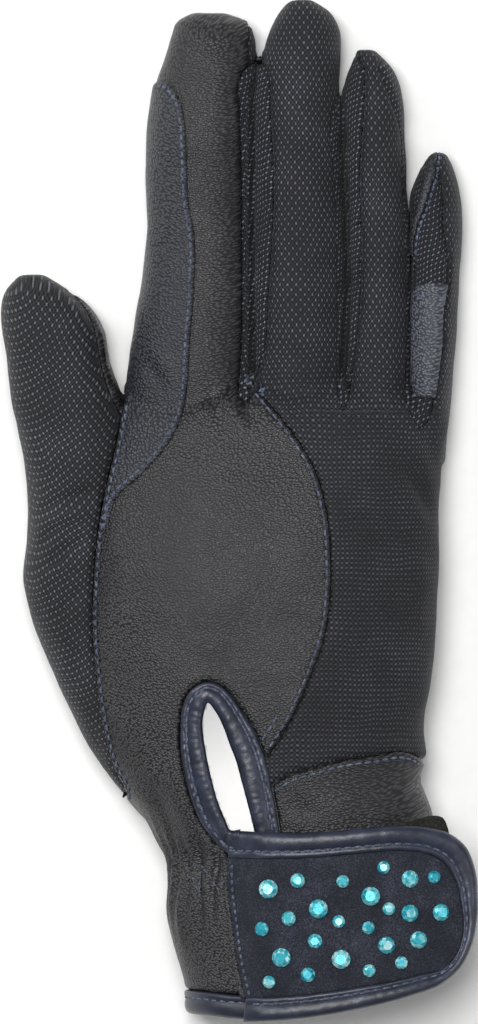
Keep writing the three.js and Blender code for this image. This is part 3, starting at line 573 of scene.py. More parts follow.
# %% Outlines of the panels
def far_side(path):
    y = path[-1][1]
    return [(FAR, y), (FAR, FAR), (-FAR, FAR)]


def tall(outline):
    return (outline, BELOW, OVER)


def fourchette(left, right):
    left, right = line[left], line[right]
    fork = [((left[0][0] + right[0][0]) / 2, min(left[0][1], right[0][1]) - 2.4)]
    return [*fork, *right, *left[::-1]]


UPPER = (OPEN_PLAN, SIDE_SEAM + SEAM / 2, OVER)
LOWER = (OPEN_PLAN, BELOW, SIDE_SEAM - SEAM / 2)
ABOVE_HEM = tall([*line["hem"], *far_side(line["hem"])])
fourchettes = {
    "fourchette_index_middle": fourchette("index_right", "middle_left"),
    "fourchette_middle_ring": fourchette("middle_right", "ring_left"),
    "fourchette_ring_little": fourchette("ring_right", "little_left"),
}
slit = [
    *line["strap_seam"], *line["keyhole_outer"],
    (line["keyhole_outer"][-1][0], -FAR), (line["strap_seam"][0][0], -FAR),
]
daylight = on_finger(index, [(-0.05, -0.06), (0.03, -0.045), (0.13, -0.12), (0.4, -0.45), (0.7, -0.7)])


def thumb_side(path):
    return [*path, (-FAR, path[-1][1]), (-FAR, daylight[-1][1]), *daylight[::-1]]


thumb_outline = thumb_side(line["thumb"])
palm_side = thumb_side(line["thumb_palm"])
strip_outline = [*line["thumb_strip"], *daylight, (-0.27 * KNUCKLES, daylight[-1][1])]
oval, band = line["oval"], line["band"]
mesh_outline = [*oval, *band, (FAR, band[-1][1]), (FAR, FAR), (oval[0][0], FAR)]
band_outline = [*band, (FAR, band[-1][1]), (FAR, -FAR), (band[0][0], -FAR)]

# %% Cut the skin into panels
REIN_LOW, TIP_LOW = 0.75, 0.5
CROTCH, GUSSET_RADIUS = np.array((28.4, 140.2)), 3.2
between = [(grown(outline, SEAM), SIDE_SEAM, OVER) for outline in fourchettes.values()]
open_slit = (grown(slit, SEAM), HAND_DEPTH / 2, OVER)
no_thumb, no_strip = tall(grown(thumb_outline, SEAM)), tall(grown(strip_outline, SEAM))
no_mesh, no_band = tall(grown(mesh_outline, SEAM)), tall(grown(band_outline, SEAM))
cuts = {name: ([UPPER, tall(outline)], []) for name, outline in fourchettes.items()}
cuts["thumb_mesh"] = ([UPPER, tall(thumb_outline)], [no_strip])
cuts["thumb_strip"] = ([tall(strip_outline), UPPER], [])
cuts["thumb_under"] = ([(palm_side, BELOW, SIDE_SEAM + SEAM / 2)], [])
cuts["palm_leather"] = ([ABOVE_HEM, LOWER], [tall(grown(palm_side, SEAM)), no_strip])
cuts["wrist_band"] = ([ABOVE_HEM, UPPER, tall(band_outline)], [open_slit])
cuts["back_mesh"] = ([UPPER, tall(mesh_outline)], [no_band, *between])
cuts["back_leather"] = ([ABOVE_HEM, UPPER], [no_thumb, no_strip, no_mesh, no_band, *between, open_slit])
patch_side = on_hand([
    (-0.087, 0.79), (-0.074, 0.83), (-0.034, 0.92), (-0.012, 0.975), (0.0, 1.1), (0.03, 1.35), (0.06, 1.47)])
cuts["index_side_patch"] = ([UPPER, tall([*line["index_patch"], *patch_side])], [])
for name, low in (("rein_patch", REIN_LOW), ("tip_patch", TIP_LOW)):
    cuts["little_" + name] = ([(SEAMS[name], low * little["depth"], OVER)], [])
around = np.linspace(0, 2 * np.pi, 33)[:-1]
gusset = CROTCH + GUSSET_RADIUS * np.stack([np.cos(around), np.sin(around)], -1)
cuts["crotch_gusset"] = ([UPPER, tall(gusset)], [])
sheets = {name: sheet_only(cut(keep, drop)) for name, (keep, drop) in cuts.items()}
for name, (points, faces) in sheets.items():
    print(f"{name}: {len(faces)} faces, {points.min(0).round(1)} to {points.max(0).round(1)}")

# %% [markdown]
# ## Materials
# The colours are sRGB hex values, which one function turns to linear light. One small function adds a node
# with its settings and its links, so each material reads as a list of what the real surface has.

# %% Colour and node helpers
def linear(code):
    parts = [int(code[i:i + 2], 16) / 255 for i in (1, 3, 5)]
    return tuple(c / 12.92 if c <= 0.04045 else ((c + 0.055) / 1.055) ** 2.4 for c in parts) + (1.0,)


def add(tree, kind, inputs=None, **settings):
    new = tree.nodes.new("ShaderNode" + kind)
    for key, value in settings.items():
        setattr(new, key, value)
    for key, value in (inputs or {}).items():
        if isinstance(value, bpy.types.NodeSocket):
            tree.links.new(value, new.inputs[key])
        else:
            new.inputs[key].default_value = value
    return new


def finish_of(name, **constants):
    material = bpy.data.materials.new(name)
    material.use_nodes = True
    surface = material.node_tree.nodes["Principled BSDF"]
    for key, value in constants.items():
        surface.inputs[key.replace("_", " ")].default_value = value
    return material, material.node_tree, surface


def ramp(tree, share, stops):
    band_of = add(tree, "ValToRGB", {"Fac": share})
    elements = band_of.color_ramp.elements
    while len(elements) < len(stops):
        elements.new(0.5)
    for element, (at, code) in zip(elements, stops):
        element.position, element.color = at, linear(code)
    return band_of.outputs["Color"]


def per_mm(millimetres):
    return 1000 / millimetres


# %% [markdown]
# ### Grained leather
# The palm and the oval are drum-dyed sheepskin. Its grain is a field of domed pebbles, 0.6 to 0.75 mm wide
# and slightly stretched in one direction, as on a real skin. Each pebble is one cell of a flat Voronoi
# pattern, which is laid on the plan and slanted with the height, so that it doesn't smear down the sides.
# The creases between the pebbles are duller than their crowns. Their colour is painted light: darker in the
# creases as painted shade, and lighter on the crowns as painted sheen, which a broad noise makes patchy.
# Leather's surface film has an index of refraction near 1.5.

# %% Grained leather
def leather(name, deep, face, crown, pebble=0.64, relief=0.12, shine=0.34, lie=30.0):
    material, tree, surface = finish_of(name, IOR=1.5)
    place = add(tree, "TexCoord").outputs["Object"]
    x, y, z = add(tree, "SeparateXYZ", {0: place}).outputs
    across = add(tree, "Math", {0: z, 1: 0.7, 2: x}, operation="MULTIPLY_ADD").outputs[0]
    along = add(tree, "Math", {0: z, 1: 0.4, 2: y}, operation="MULTIPLY_ADD").outputs[0]
    hide = add(tree, "CombineXYZ", {"X": across, "Y": along}).outputs[0]
    drift = add(tree, "TexNoise", {"Vector": place, "Scale": per_mm(2.2), "Detail": 2.0})
    drift = drift.outputs["Color"]
    bent = add(tree, "VectorMath", {0: drift, "Scale": 0.35 * MM}, operation="SCALE").outputs[0]
    bent = add(tree, "VectorMath", {0: hide, 1: bent}, operation="ADD").outputs[0]
    lie_turn = (0, 0, math.radians(-lie))
    bent = add(tree, "Mapping", {"Vector": bent, "Rotation": lie_turn, "Scale": (0.85, 1.2, 1.0)}).outputs[0]
    cells = add(tree, "TexVoronoi", {"Vector": bent, "Scale": per_mm(pebble)}, feature="F1",
                voronoi_dimensions="2D")
    dome = add(tree, "MapRange", {"Value": cells.outputs["Distance"], "From Min": 0.68, "From Max": 0.08},
               interpolation_type="SMOOTHSTEP").outputs[0]
    fine = add(tree, "TexNoise", {"Vector": place, "Scale": per_mm(0.3), "Detail": 2.0, "Roughness": 0.6})
    broad = add(tree, "TexNoise", {"Vector": place, "Scale": per_mm(14), "Detail": 4.0, "Roughness": 0.55})
    # Painted sheen and shade: the dome lightens the crowns' colour, patchily through the broad noise, and
    # darkens the creases.
    painted_sheen_and_shade = add(tree, "Math", {0: broad.outputs["Fac"], 1: 0.4, 2: 0.32}, operation="MULTIPLY_ADD").outputs[0]
    painted_sheen_and_shade = add(tree, "Math", {0: dome, 1: painted_sheen_and_shade}, operation="MULTIPLY").outputs[0]
    colour = ramp(tree, painted_sheen_and_shade, [(0.04, deep), (0.28, face), (0.55, crown)])
    tree.links.new(colour, surface.inputs["Base Color"])
    rough = add(tree, "MapRange", {"Value": painted_sheen_and_shade, "To Min": shine + 0.18, "To Max": shine - 0.1})
    tree.links.new(rough.outputs[0], surface.inputs["Roughness"])
    height = add(tree, "Math", {0: fine.outputs["Fac"], 1: 0.18, 2: dome}, operation="MULTIPLY_ADD")
    low = add(tree, "Bump", {"Height": height.outputs[0], "Distance": relief * MM, "Strength": 1.0})
    swell = add(tree, "Bump", {"Height": broad.outputs["Fac"], "Distance": 1.0 * MM, "Strength": 0.6,
                               "Normal": low.outputs[0]})
    tree.links.new(swell.outputs[0], surface.inputs["Normal"])
    return material


# The first colour of each leather is the painted shade in the creases, the last the painted sheen on the
# crowns.
black_leather = leather("drum_dyed_sheepskin", "#0b0b0c", "#222124", "#3d3c41")
side_leather = leather("blue_grey_sheepskin", "#17181d", "#2b2d34", "#41444c", 0.75, 0.17, 0.36, 5.0)
rein_leather = leather("pale_blue_grey_sheepskin", "#282a31", "#484b54", "#626670", 0.7, 0.15, 0.38, 80.0)
tip_leather = leather("dark_sheepskin", "#17181c", "#2b2d33", "#42454c", 0.6, 0.09, 0.38, 60.0)

# %% [markdown]
# ### Knitted mesh
# The back is a warp-knitted polyamide mesh, with upright stitches staggered like bricks and small holes
# between them. The product of two cosines has a crest at each stitch and at the middle between four others, so
# it draws this lattice: once for the long stitches, whose palest colour is a painted glint, and once at half
# the pitch for the ground's loops and pinholes, whose near-black colour is painted shade. Below the knuckles
# the stitches of the back fade, and shallow cross ribs take their place. The material reads its place in
# millimetres from a weave attribute on the mesh, which runs round the fingers.

# %% Knitted mesh
NO_RIBS = -300.0
RIB_FADE = 30.0


def knit(name, ground, yarn, light, across, along, turn=0.0, bold=0.45, rib=0.0, ribbed_below=NO_RIBS,
         relief=0.24, seed=0.0):
    material, tree, surface = finish_of(
        name, IOR=1.53, Roughness=0.7, Specular_IOR_Level=0.3, Sheen_Weight=0.06, Sheen_Roughness=0.4)
    place = add(tree, "Attribute", attribute_name="weave").outputs["Vector"]
    place = add(tree, "Mapping", {"Vector": place, "Rotation": (0, 0, math.radians(turn))}).outputs[0]
    sway = add(tree, "TexNoise", {"Vector": place, "Scale": 0.12, "Detail": 2.0}).outputs["Color"]
    sway = add(tree, "VectorMath", {0: sway, 1: (0.5, 0.5, 0.5)}, operation="SUBTRACT").outputs[0]
    sway = add(tree, "VectorMath", {0: sway, "Scale": 1.8}, operation="SCALE").outputs[0]
    place = add(tree, "VectorMath", {0: place, 1: sway}, operation="ADD").outputs[0]
    parts = add(tree, "SeparateXYZ", {0: place}).outputs
    waves = []
    for axis, pitch in ((0, across), (1, along), (0, across / 2), (1, along / 2)):
        phase = add(tree, "Math", {0: parts[axis], 1: 2 * math.pi / pitch}, operation="MULTIPLY").outputs[0]
        waves.append(add(tree, "Math", {0: phase}, operation="COSINE").outputs[0])
    brick = add(tree, "Math", {0: waves[0], 1: waves[1]}, operation="MULTIPLY").outputs[0]
    brick = add(tree, "Math", {0: waves[2], 1: 0.35, 2: brick}, operation="MULTIPLY_ADD").outputs[0]
    dash = add(tree, "MapRange", {"Value": brick, "From Min": 0.28, "From Max": 1.1},
               interpolation_type="SMOOTHSTEP").outputs[0]
    loop = add(tree, "Math", {0: waves[2], 1: waves[3]}, operation="MULTIPLY").outputs[0]
    loop = add(tree, "MapRange", {"Value": loop, "From Min": -0.85, "From Max": 0.5, "To Max": 0.76},
               interpolation_type="SMOOTHSTEP").outputs[0]
    object_place = add(tree, "TexCoord").outputs["Object"]
    grain = {"Vector": object_place, "Scale": per_mm(0.3), "Detail": 2.0, "Roughness": 0.7}
    fuzz = add(tree, "TexNoise", grain).outputs["Fac"]
    patches = {"Vector": object_place, "Scale": per_mm(9), "Detail": 3.0, "W": seed}
    patchy = add(tree, "TexNoise", patches, noise_dimensions="4D").outputs["Fac"]
    past_ribs = {"Value": parts[1], "From Min": ribbed_below, "From Max": ribbed_below + RIB_FADE}
    open_knit = add(tree, "MapRange", {**past_ribs, "To Min": bold * 0.25, "To Max": bold}).outputs[0]
    ribs = add(tree, "MapRange", {**past_ribs, "To Min": rib, "To Max": 0.0}).outputs[0]
    thick = add(tree, "Mix", {"Factor": open_knit, "A": loop, "B": dash}).outputs["Result"]
    thick = add(tree, "Math", {0: waves[3], 1: ribs, 2: thick}, operation="MULTIPLY_ADD").outputs[0]
    dense = add(tree, "MapRange", {**past_ribs, "To Min": 0.66, "To Max": 1.0}).outputs[0]
    thick = add(tree, "Math", {0: thick, 1: dense}, operation="MULTIPLY").outputs[0]
    bright = add(tree, "Math", {0: fuzz, 1: patchy}, operation="ADD").outputs[0]
    bright = add(tree, "Math", {0: thick, 1: bright}, operation="MULTIPLY").outputs[0]
    # ground is painted shade in the pinholes, light is a painted glint on the long stitches
    colour = ramp(tree, bright, [(0.06, ground), (0.42, yarn), (1.0, light)])
    tree.links.new(colour, surface.inputs["Base Color"])
    height = add(tree, "Math", {0: fuzz, 1: 0.3, 2: thick}, operation="MULTIPLY_ADD").outputs[0]
    bump = add(tree, "Bump", {"Height": height, "Distance": relief * MM, "Strength": 1.0})
    tree.links.new(bump.outputs[0], surface.inputs["Normal"])
    return material


# The last colour of each mesh is a painted glint on its long stitches, the first the painted shade in its
# pinholes.
back_knit = knit("polyamide_mesh_of_the_back", "#07080b", "#212228", "#676872", 1.8, 2.3,
                 rib=0.16, ribbed_below=120.0)
thumb_knit = knit("polyamide_mesh_of_the_thumb", "#060709", "#26272c", "#6e6f78", 1.75, 2.0,
                  relief=0.26, seed=3.0)
flank_knit = knit("polyamide_mesh_of_the_flanks", "#050609", "#1e2027", "#7a7c87", 1.4, 2.2,
                  turn=40.0, bold=0.5, relief=0.3, seed=6.0)

# %% [markdown]
# ### Navy binding, suede, hook tape and thread
# The bindings are thin smooth nappa, folded over an edge, with a soft sheen. The strap is faced with
# microfibre suede, whose short nap has a sheen of its own and pale specks. The tape's woven hooks and the
# thread scatter light. The palm's leather has a pale flesh side, which shows through the keyhole. Leather
# gives off no light: the emission there only stands in for the plain white that a photograph shows in the
# opening, and an attribute of the mesh keeps it to that place. The other leather is dyed through, so its
# inner side is dark.

# %% Smooth, napped and sewn finishes
def nappa(name, deep, face, crown):
    material, tree, surface = finish_of(name, IOR=1.5, Coat_Weight=0.08, Coat_Roughness=0.35)
    place = add(tree, "TexCoord").outputs["Object"]
    cells = add(tree, "TexVoronoi", {"Vector": place, "Scale": per_mm(0.42)}, feature="DISTANCE_TO_EDGE")
    broad = add(tree, "TexNoise", {"Vector": place, "Scale": per_mm(5), "Detail": 4.0})
    colour = ramp(tree, broad.outputs["Fac"], [(0.3, deep), (0.52, face), (0.75, crown)])
    tree.links.new(colour, surface.inputs["Base Color"])
    rough = add(tree, "MapRange", {"Value": broad.outputs["Fac"], "To Min": 0.46, "To Max": 0.3})
    tree.links.new(rough.outputs[0], surface.inputs["Roughness"])
    grain = add(tree, "Bump", {"Height": cells.outputs["Distance"], "Distance": 0.05 * MM, "Strength": 0.7})
    wrinkle = add(tree, "Bump", {"Height": broad.outputs["Fac"], "Distance": 0.45 * MM, "Strength": 0.6,
                                 "Normal": grain.outputs[0]})
    tree.links.new(wrinkle.outputs[0], surface.inputs["Normal"])
    return material


def napped(name, deep, face, speck, size, relief, sheen):
    material, tree, surface = finish_of(
        name, IOR=1.5, Roughness=0.88, Specular_IOR_Level=0.3, Sheen_Weight=sheen, Sheen_Roughness=0.5)
    place = add(tree, "TexCoord").outputs["Object"]
    hairs = {"Vector": place, "Scale": per_mm(size), "Detail": 4.0, "Roughness": 0.75}
    nap = add(tree, "TexNoise", hairs).outputs["Fac"]
    broad = add(tree, "TexNoise", {"Vector": place, "Scale": per_mm(6), "Detail": 3.0}).outputs["Fac"]
    share = add(tree, "Math", {0: broad, 1: 0.3, 2: nap}, operation="MULTIPLY_ADD").outputs[0]
    colour = ramp(tree, share, [(0.5, deep), (0.66, face), (0.86, speck)])
    tree.links.new(colour, surface.inputs["Base Color"])
    bump = add(tree, "Bump", {"Height": nap, "Distance": relief * MM, "Strength": 1.0})
    tree.links.new(bump.outputs[0], surface.inputs["Normal"])
    return material


navy_nappa = nappa("navy_nappa", "#1a1e2b", "#252a3a", "#353b4c")
suede = napped("microfibre_suede", "#14161d", "#20232d", "#474b58", 0.35, 0.12, 0.1)
hooks = napped("woven_hook_tape", "#0d0d0b", "#1c1d19", "#33342c", 0.7, 0.6, 0.05)
# The navy thread's palest speck colour is partly its own flecks and partly a painted glint.
thread = napped("navy_polyester_thread", "#2a3146", "#4d566e", "#8d95a6", 0.3, 0.05, 0.1)
dark_thread = napped("black_polyester_thread", "#0c0d12", "#171920", "#2b2e38", 0.3, 0.05, 0.1)
pale_thread = napped("grey_polyester_thread", "#2f3340", "#565b6a", "#868b98", 0.3, 0.05, 0.1)
flesh_side = napped("flesh_side_of_the_leather", "#eceae5", "#f7f5f1", "#ffffff", 0.5, 0.04, 0.0)
dyed_flesh = napped("dyed_flesh_side_of_the_leather", "#121215", "#1d1d21", "#2c2c31", 0.5, 0.04, 0.0)
tree = flesh_side.node_tree
surface = tree.nodes["Principled BSDF"]
surface.inputs["Emission Color"].default_value = linear("#ffffff")
OPENING_GLOW = 0.62
opening = add(tree, "Attribute", attribute_name="opening").outputs["Fac"]
glow = add(tree, "Math", {0: opening, 1: OPENING_GLOW}, operation="MULTIPLY").outputs[0]
tree.links.new(glow, surface.inputs["Emission Strength"])

# %% [markdown]
# ### Crystals
# The stones are cut glass with a foiled back, which returns the light. They are drawn as a bright colour,
# partly metallic, under a thin clear coat, and the light that the foil returns is painted into that colour.
# Each facet returns another part of the room, so each has its own tone, a painted reflection kept as an
# attribute, and small cells vary that tone further as painted glints.

# %% Crystals
crystal_glass, tree, surface = finish_of(
    "foiled_aqua_crystal", Metallic=0.3, Roughness=0.26, Coat_Weight=0.25, Coat_Roughness=0.12, Coat_IOR=1.55)
# Each facet's tone is a painted reflection of the room, and the sparkle cells add painted glints.
tone = add(tree, "Attribute", attribute_name="facet").outputs["Fac"]
place = add(tree, "TexCoord").outputs["Object"]
sparkle = add(tree, "TexVoronoi", {"Vector": place, "Scale": per_mm(0.9)}, feature="F1").outputs["Color"]
mixed = add(tree, "Math", {0: sparkle, 1: 0.35, 2: tone}, operation="MULTIPLY_ADD").outputs[0]
colour = ramp(tree, mixed, [(0.08, "#07506a"), (0.34, "#1593ac"), (0.66, "#46bcc8"), (1.0, "#c4eeee")])
tree.links.new(colour, surface.inputs["Base Color"])
print(len(bpy.data.materials), "materials")

# %% [markdown]
# ## Panels with thickness
# A cut sheet becomes a panel in three steps. It is lifted a little, leather over mesh. Its outline turns
# down into the seam, as a sewn edge does. A Solidify modifier then gives it its thickness inwards: 1.2 mm,
# or 0.7 mm for a patch. Its inner side has a second material: pale flesh under the palm, dyed flesh in the
# other leather, and the knit again in the mesh.

# %% Making pieces
MIDDLE = np.array([*MIDDLE_OF_OUTLINE, 0.0])
PATCH_WALL = 0.7
SIDE_STRETCH = 0.8
WEAVE_FROM = HAND_LENGTH - 6


def weave_of(p, turned=None):
    x, y, z = p.T
    u = x.copy()
    for finger in FINGERS.values():
        left, right, top, under = section(finger, y)
        mid, half = (left + right) / 2, (right - left) / 2
        here = (x > left - 1.2) & (x < right + 1.2) & (y > WEAVE_FROM)
        arc = x - mid + np.sign(x - mid) * SIDE_STRETCH * np.maximum(top - z, 0)
        share = np.clip((y - WEAVE_FROM) / SPREAD_OVER, 0, 1)
        u = np.where(here, u + share * (mid + arc - x), u)
    left, right, top, under = section(HAND, np.minimum(y, HAND_LENGTH))
    mid, half = (left + right) / 2, (right - left) / 2
    angle = np.arctan2((x - mid) / half, np.maximum(z - top * 0.4, 0) / (top * 0.6))
    arc = mid + angle * (half + top * 0.6) / 2
    u = np.where(y <= WEAVE_FROM, u + (arc - x) * 0.6, u)
    if turned is not None:
        c, s = math.cos(math.radians(turned)), math.sin(math.radians(turned))
        return np.stack([x * c - y * s, x * s + y * c + z * 0.6, z], -1)
    return np.stack([u, y, z], -1)


def piece(name, points, faces, materials, nodes=(), smooth=True, weave=None):
    mesh = mesh_of(name, (np.asarray(points) - MIDDLE) * MM, faces)
    for material in materials:
        mesh.materials.append(material)
    mesh.polygons.foreach_set("use_smooth", [smooth] * len(mesh.polygons))
    if weave is not None:
        mesh.attributes.new("weave", "FLOAT_VECTOR", "POINT").data.foreach_set("vector", weave.ravel())
    thing = scratch(mesh)
    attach(thing, "root")
    if nodes:
        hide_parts(*nodes)
    return thing


def within(points, outline):
    a = np.asarray(outline)
    b = np.roll(a, -1, axis=0)
    x, y = points[:, 0, None], points[:, 1, None]
    crosses = (a[:, 1] > y) != (b[:, 1] > y)
    at = a[:, 0] + (y - a[:, 1]) * (b[:, 0] - a[:, 0]) / np.where(a[:, 1] == b[:, 1], 1e-9, b[:, 1] - a[:, 1])
    return (crosses & (x < at)).sum(1) % 2 == 1


def rim_of(faces, count):
    pairs = np.array([(a, b) for face in faces for a, b in zip(face, face[1:] + face[:1])])
    key = np.sort(pairs, axis=1) @ (count, 1)
    value, first, times = np.unique(key, return_index=True, return_counts=True)
    return np.unique(pairs[first[times == 1]])


def distance_to(points, rim):
    lookup = KDTree(len(rim))
    for i, at in enumerate(rim):
        lookup.insert(points[at], i)
    lookup.balance()
    return np.array([lookup.find(p)[2] for p in points])


def panel_shape(name, proud, turn, reach_in=1.1):
    points, faces = sheets[name]
    mesh = mesh_of(name, points, faces)
    normals = normals_of(mesh)
    bpy.data.meshes.remove(mesh)
    away = distance_to(points, rim_of(faces, len(points)))
    dip = turn * (1 - np.clip(away / reach_in, 0, 1)) ** 2
    puff = 0.12 * np.exp(-((away - reach_in * 1.3) / 0.8) ** 2)
    return points + normals * (proud - dip + puff)[:, None], faces


print("helpers for the pieces are ready")

# %% Make the panels
LOOKS = {
    "palm_leather": (black_leather, 0.0, 0.25), "back_leather": (black_leather, 0.3, 0.6),
    "wrist_band": (black_leather, 0.3, 0.6), "back_mesh": (back_knit, 0.0, 0.16),
    "thumb_mesh": (thumb_knit, 0.0, 0.3), "fourchette_index_middle": (flank_knit, 0.0, 0.16),
    "fourchette_middle_ring": (flank_knit, 0.0, 0.16), "fourchette_ring_little": (flank_knit, 0.0, 0.16),
    "index_side_patch": (side_leather, 0.95, 0.45), "little_rein_patch": (rein_leather, 0.95, 0.4),
    "little_tip_patch": (tip_leather, 0.95, 0.4),
}
THUMB_TURN = 8
surfaces = {}


def panel(name, material, proud, turn, thickness=WALL, slot=None, nodes=None, shape=None, turned=None):
    points, faces = shape or panel_shape(name, proud, turn)
    points[:, 2] = np.maximum(points[:, 2], 0)
    surfaces[name] = (points, faces)
    knitted = "mesh" in material.name
    inner = dyed_flesh
    if name == "palm_leather":
        inner = flesh_side
    if knitted:
        inner = material
    slot = slot or ("navy_mesh" if knitted else "black_leather")
    weave = weave_of(points, turned) if knitted else None
    thing = piece(name.replace("_leather", "_panel") + "_skin", points, faces, [material, inner],
                  nodes or [name], weave=weave)
    if name == "palm_leather":
        under_keyhole = within(np.asarray(points), line["keyhole_inner"]).astype(float)
        thing.data.attributes.new("opening", "FLOAT", "POINT").data.foreach_set("value", under_keyhole)
    solidify = thing.modifiers.new("thickness", "SOLIDIFY")
    solidify.thickness, solidify.offset, solidify.material_offset = thickness * MM, -1, 1
    solidify.use_even_offset = False
    print(f"{thing.name}: {len(faces)} faces")
    return thing


for name, (material, proud, turn) in LOOKS.items():
    thickness = PATCH_WALL if "patch" in name else WALL
    slot = "blue_grey_leather" if material in (side_leather, rein_leather) else None
    turned = THUMB_TURN if name == "thumb_mesh" else None
    panel(name, material, proud, turn, thickness, slot, turned=turned)

# %% The scrap of mesh that backs the crotch of the index finger
points, faces = panel_shape("crotch_gusset", -0.5, 0.0)
piece("crotch_gusset", points, faces, [flank_knit], weave=weave_of(points))

# %% The thumb's leather, from its inner side round to the palm
strip_points, strip_faces = panel_shape("thumb_strip", 0.2, 0.3)
under_points, under_faces = panel_shape("thumb_under", 0.0, 0.2)
both = np.concatenate([strip_points, under_points])
both_faces = [*strip_faces, *(tuple(i + len(strip_points) for i in face) for face in under_faces)]
panel("thumb_leather", black_leather, 0, 0, shape=(both, both_faces))

# %% [markdown]
# ## Lines on the surface
# Stitches, turned edges and the keyhole's binding follow a line that lies on the skin. A ray from above
# finds the skin under each point of the plan, and for the stitches and edges also the direction in which it
# faces there.

# %% Draping a line
DOWN = Vector((0, 0, -1.0))


def tree_of(parts):
    points, faces = [], []
    for some, polygons in parts:
        faces += [tuple(i + len(points) for i in face) for face in polygons]
        points += [Vector(p) for p in some]
    return BVHTree.FromPolygons(points, faces)


whole = tree_of([(points_of(skin), [tuple(f.vertices) for f in skin.polygons])])
outside = tree_of(surfaces.values())


def drape(path, tree=outside, low=5.0):
    found = [tree.ray_cast(Vector((x, y, OVER)), DOWN)[:2] for x, y in path]
    kept = [(at, facing) for at, facing in found if at is not None and at.z > low]
    if len(kept) < 4:
        return np.zeros((0, 3)), np.zeros((0, 3))
    at = np.array([k[0] for k in kept])
    facing = np.array([k[1] for k in kept])
    facing[facing[:, 2] < 0] *= -1
    for _ in range(3):
        facing[1:-1] = (facing[:-2] + facing[1:-1] + facing[2:]) / 3
        at[1:-1, 2] = (at[:-2, 2] + at[1:-1, 2] * 2 + at[2:, 2]) / 4
    return at, facing / np.linalg.norm(facing, axis=1, keepdims=True)


def sweep(at, facing, profile, fade=3):
    ahead = np.gradient(at, axis=0)
    ahead /= np.linalg.norm(ahead, axis=1, keepdims=True)
    side = np.cross(ahead, facing)
    side /= np.linalg.norm(side, axis=1, keepdims=True)
    n, k = len(at), len(profile)
    taper = np.clip(np.minimum(np.arange(n), np.arange(n)[::-1]) / fade, 0.05, 1)[:, None, None]
    profile = np.array(profile)
    points = at[:, None] + side[:, None] * profile[:, 0, None] + facing[:, None] * profile[:, 1, None] * taper
    return points.reshape(-1, 3), flipped(tube_faces(n, k))


def together(parts):
    points, faces = [], []
    for some, polygons in parts:
        faces += [tuple(i + len(points) for i in face) for face in polygons]
        points += list(some)
    return np.array(points), faces


# %% [markdown]
# ## Turned edges
# Where leather lies over mesh its edge is turned under and stitched down, which leaves a rounded lip along
# the seam. The lip is a low half-round profile, swept along the seam on the leather's side.

# %% Turned edges
def lip(width, height, side=1):
    turns = np.linspace(0, np.pi, 7)
    top = [(side * width * (1 - math.cos(t)) / 2, height * math.sin(t) ** 0.7) for t in turns]
    base = [(side * width, -0.5), (0.0, -0.5)]
    return (top + base)[::-side]


FINE_STEP = 0.5
HIDDEN_END = 16
LIPS = {
    "back_leather": [("oval", 1.25, 0.34, 1, 0.15)],
    "wrist_band": [("band", 1.1, 0.3, 1, 0.15)],
    "thumb_mesh": [("thumb", 0.9, 0.3, -1, 0.1)],
    "index_side_patch": [("index_patch", 1.0, 0.26, 1, 0.1)],
}
EDGE_LOOKS = {
    "thumb_mesh": (thumb_knit, "navy_mesh"),
    "index_side_patch": (side_leather, "blue_grey_leather"),
}
for name, edges in LIPS.items():
    parts = []
    for seam_name, width, height, side, inset in edges:
        seam = smooth_line(line[seam_name], FINE_STEP)[:-HIDDEN_END]
        at, facing = drape(offset(seam, side * (inset + width / 2)))
        profile = [(x - side * width / 2, z) for x, z in lip(width, height, side)]
        parts.append(sweep(at, facing, profile))
    points, faces = together(parts)
    material, slot = EDGE_LOOKS.get(name, (black_leather, "black_leather"))
    turned = THUMB_TURN if name == "thumb_mesh" else None
    edge_name = name.replace("_leather", "_panel") + "_edge"
    piece(edge_name, points, faces, [material], weave=weave_of(points, turned))
    print(f"{name} edge: {len(faces)} faces")

# %% [markdown]
# ## Bindings
# A binding is a ribbon of nappa folded over a raw edge and stitched near its outer lip. Its section is a
# padded roll at the edge, a groove under the stitches and a thin lip. Two lines bound it in the plan, the
# lip and the free edge, and the ribbon is filled in between them. The hem's ribbon runs round the wrist's
# own sections instead.

# %% The line that the strap follows over the wrist
STRAP_LENGTH, STRAP_WIDTH, STRAP_WALL = 56.4, 44.8, 1.8
LAP = 0.25
STRAP_LINE = np.array([
    (0.247, 0.78), (0.313, 0.855), (0.356, 0.915), (0.396, 0.98), (0.455, 1.015), (0.544, 1.04),
    (0.643, 1.045), (0.742, 1.035), (0.861, 1), (0.96, 0.945), (1.129, 0.83)]) * (KNUCKLES, HAND_DEPTH)


def strap_height(flat):
    return curve(STRAP_LINE[:, 0], STRAP_LINE[:, 1], np.asarray(flat)[:, 0])


print(f"the strap is at most {STRAP_LINE[:, 1].max():.1f} mm above the floor")

# %% The keyhole's binding
ROLL = [
    (0.16, -1.5), (0.02, -1.3), (-0.03, -0.7), (-0.04, 0.0), (0.0, 0.6), (0.08, 1.05), (0.2, 1.3),
    (0.34, 1.34), (0.48, 1.22), (0.58, 1.02), (0.66, 0.74), (0.71, 0.6), (0.76, 0.72), (0.84, 0.86),
    (0.92, 0.78), (0.98, 0.45), (1.0, 0.0), (0.9, -0.5)]
GROOVE = 0.71


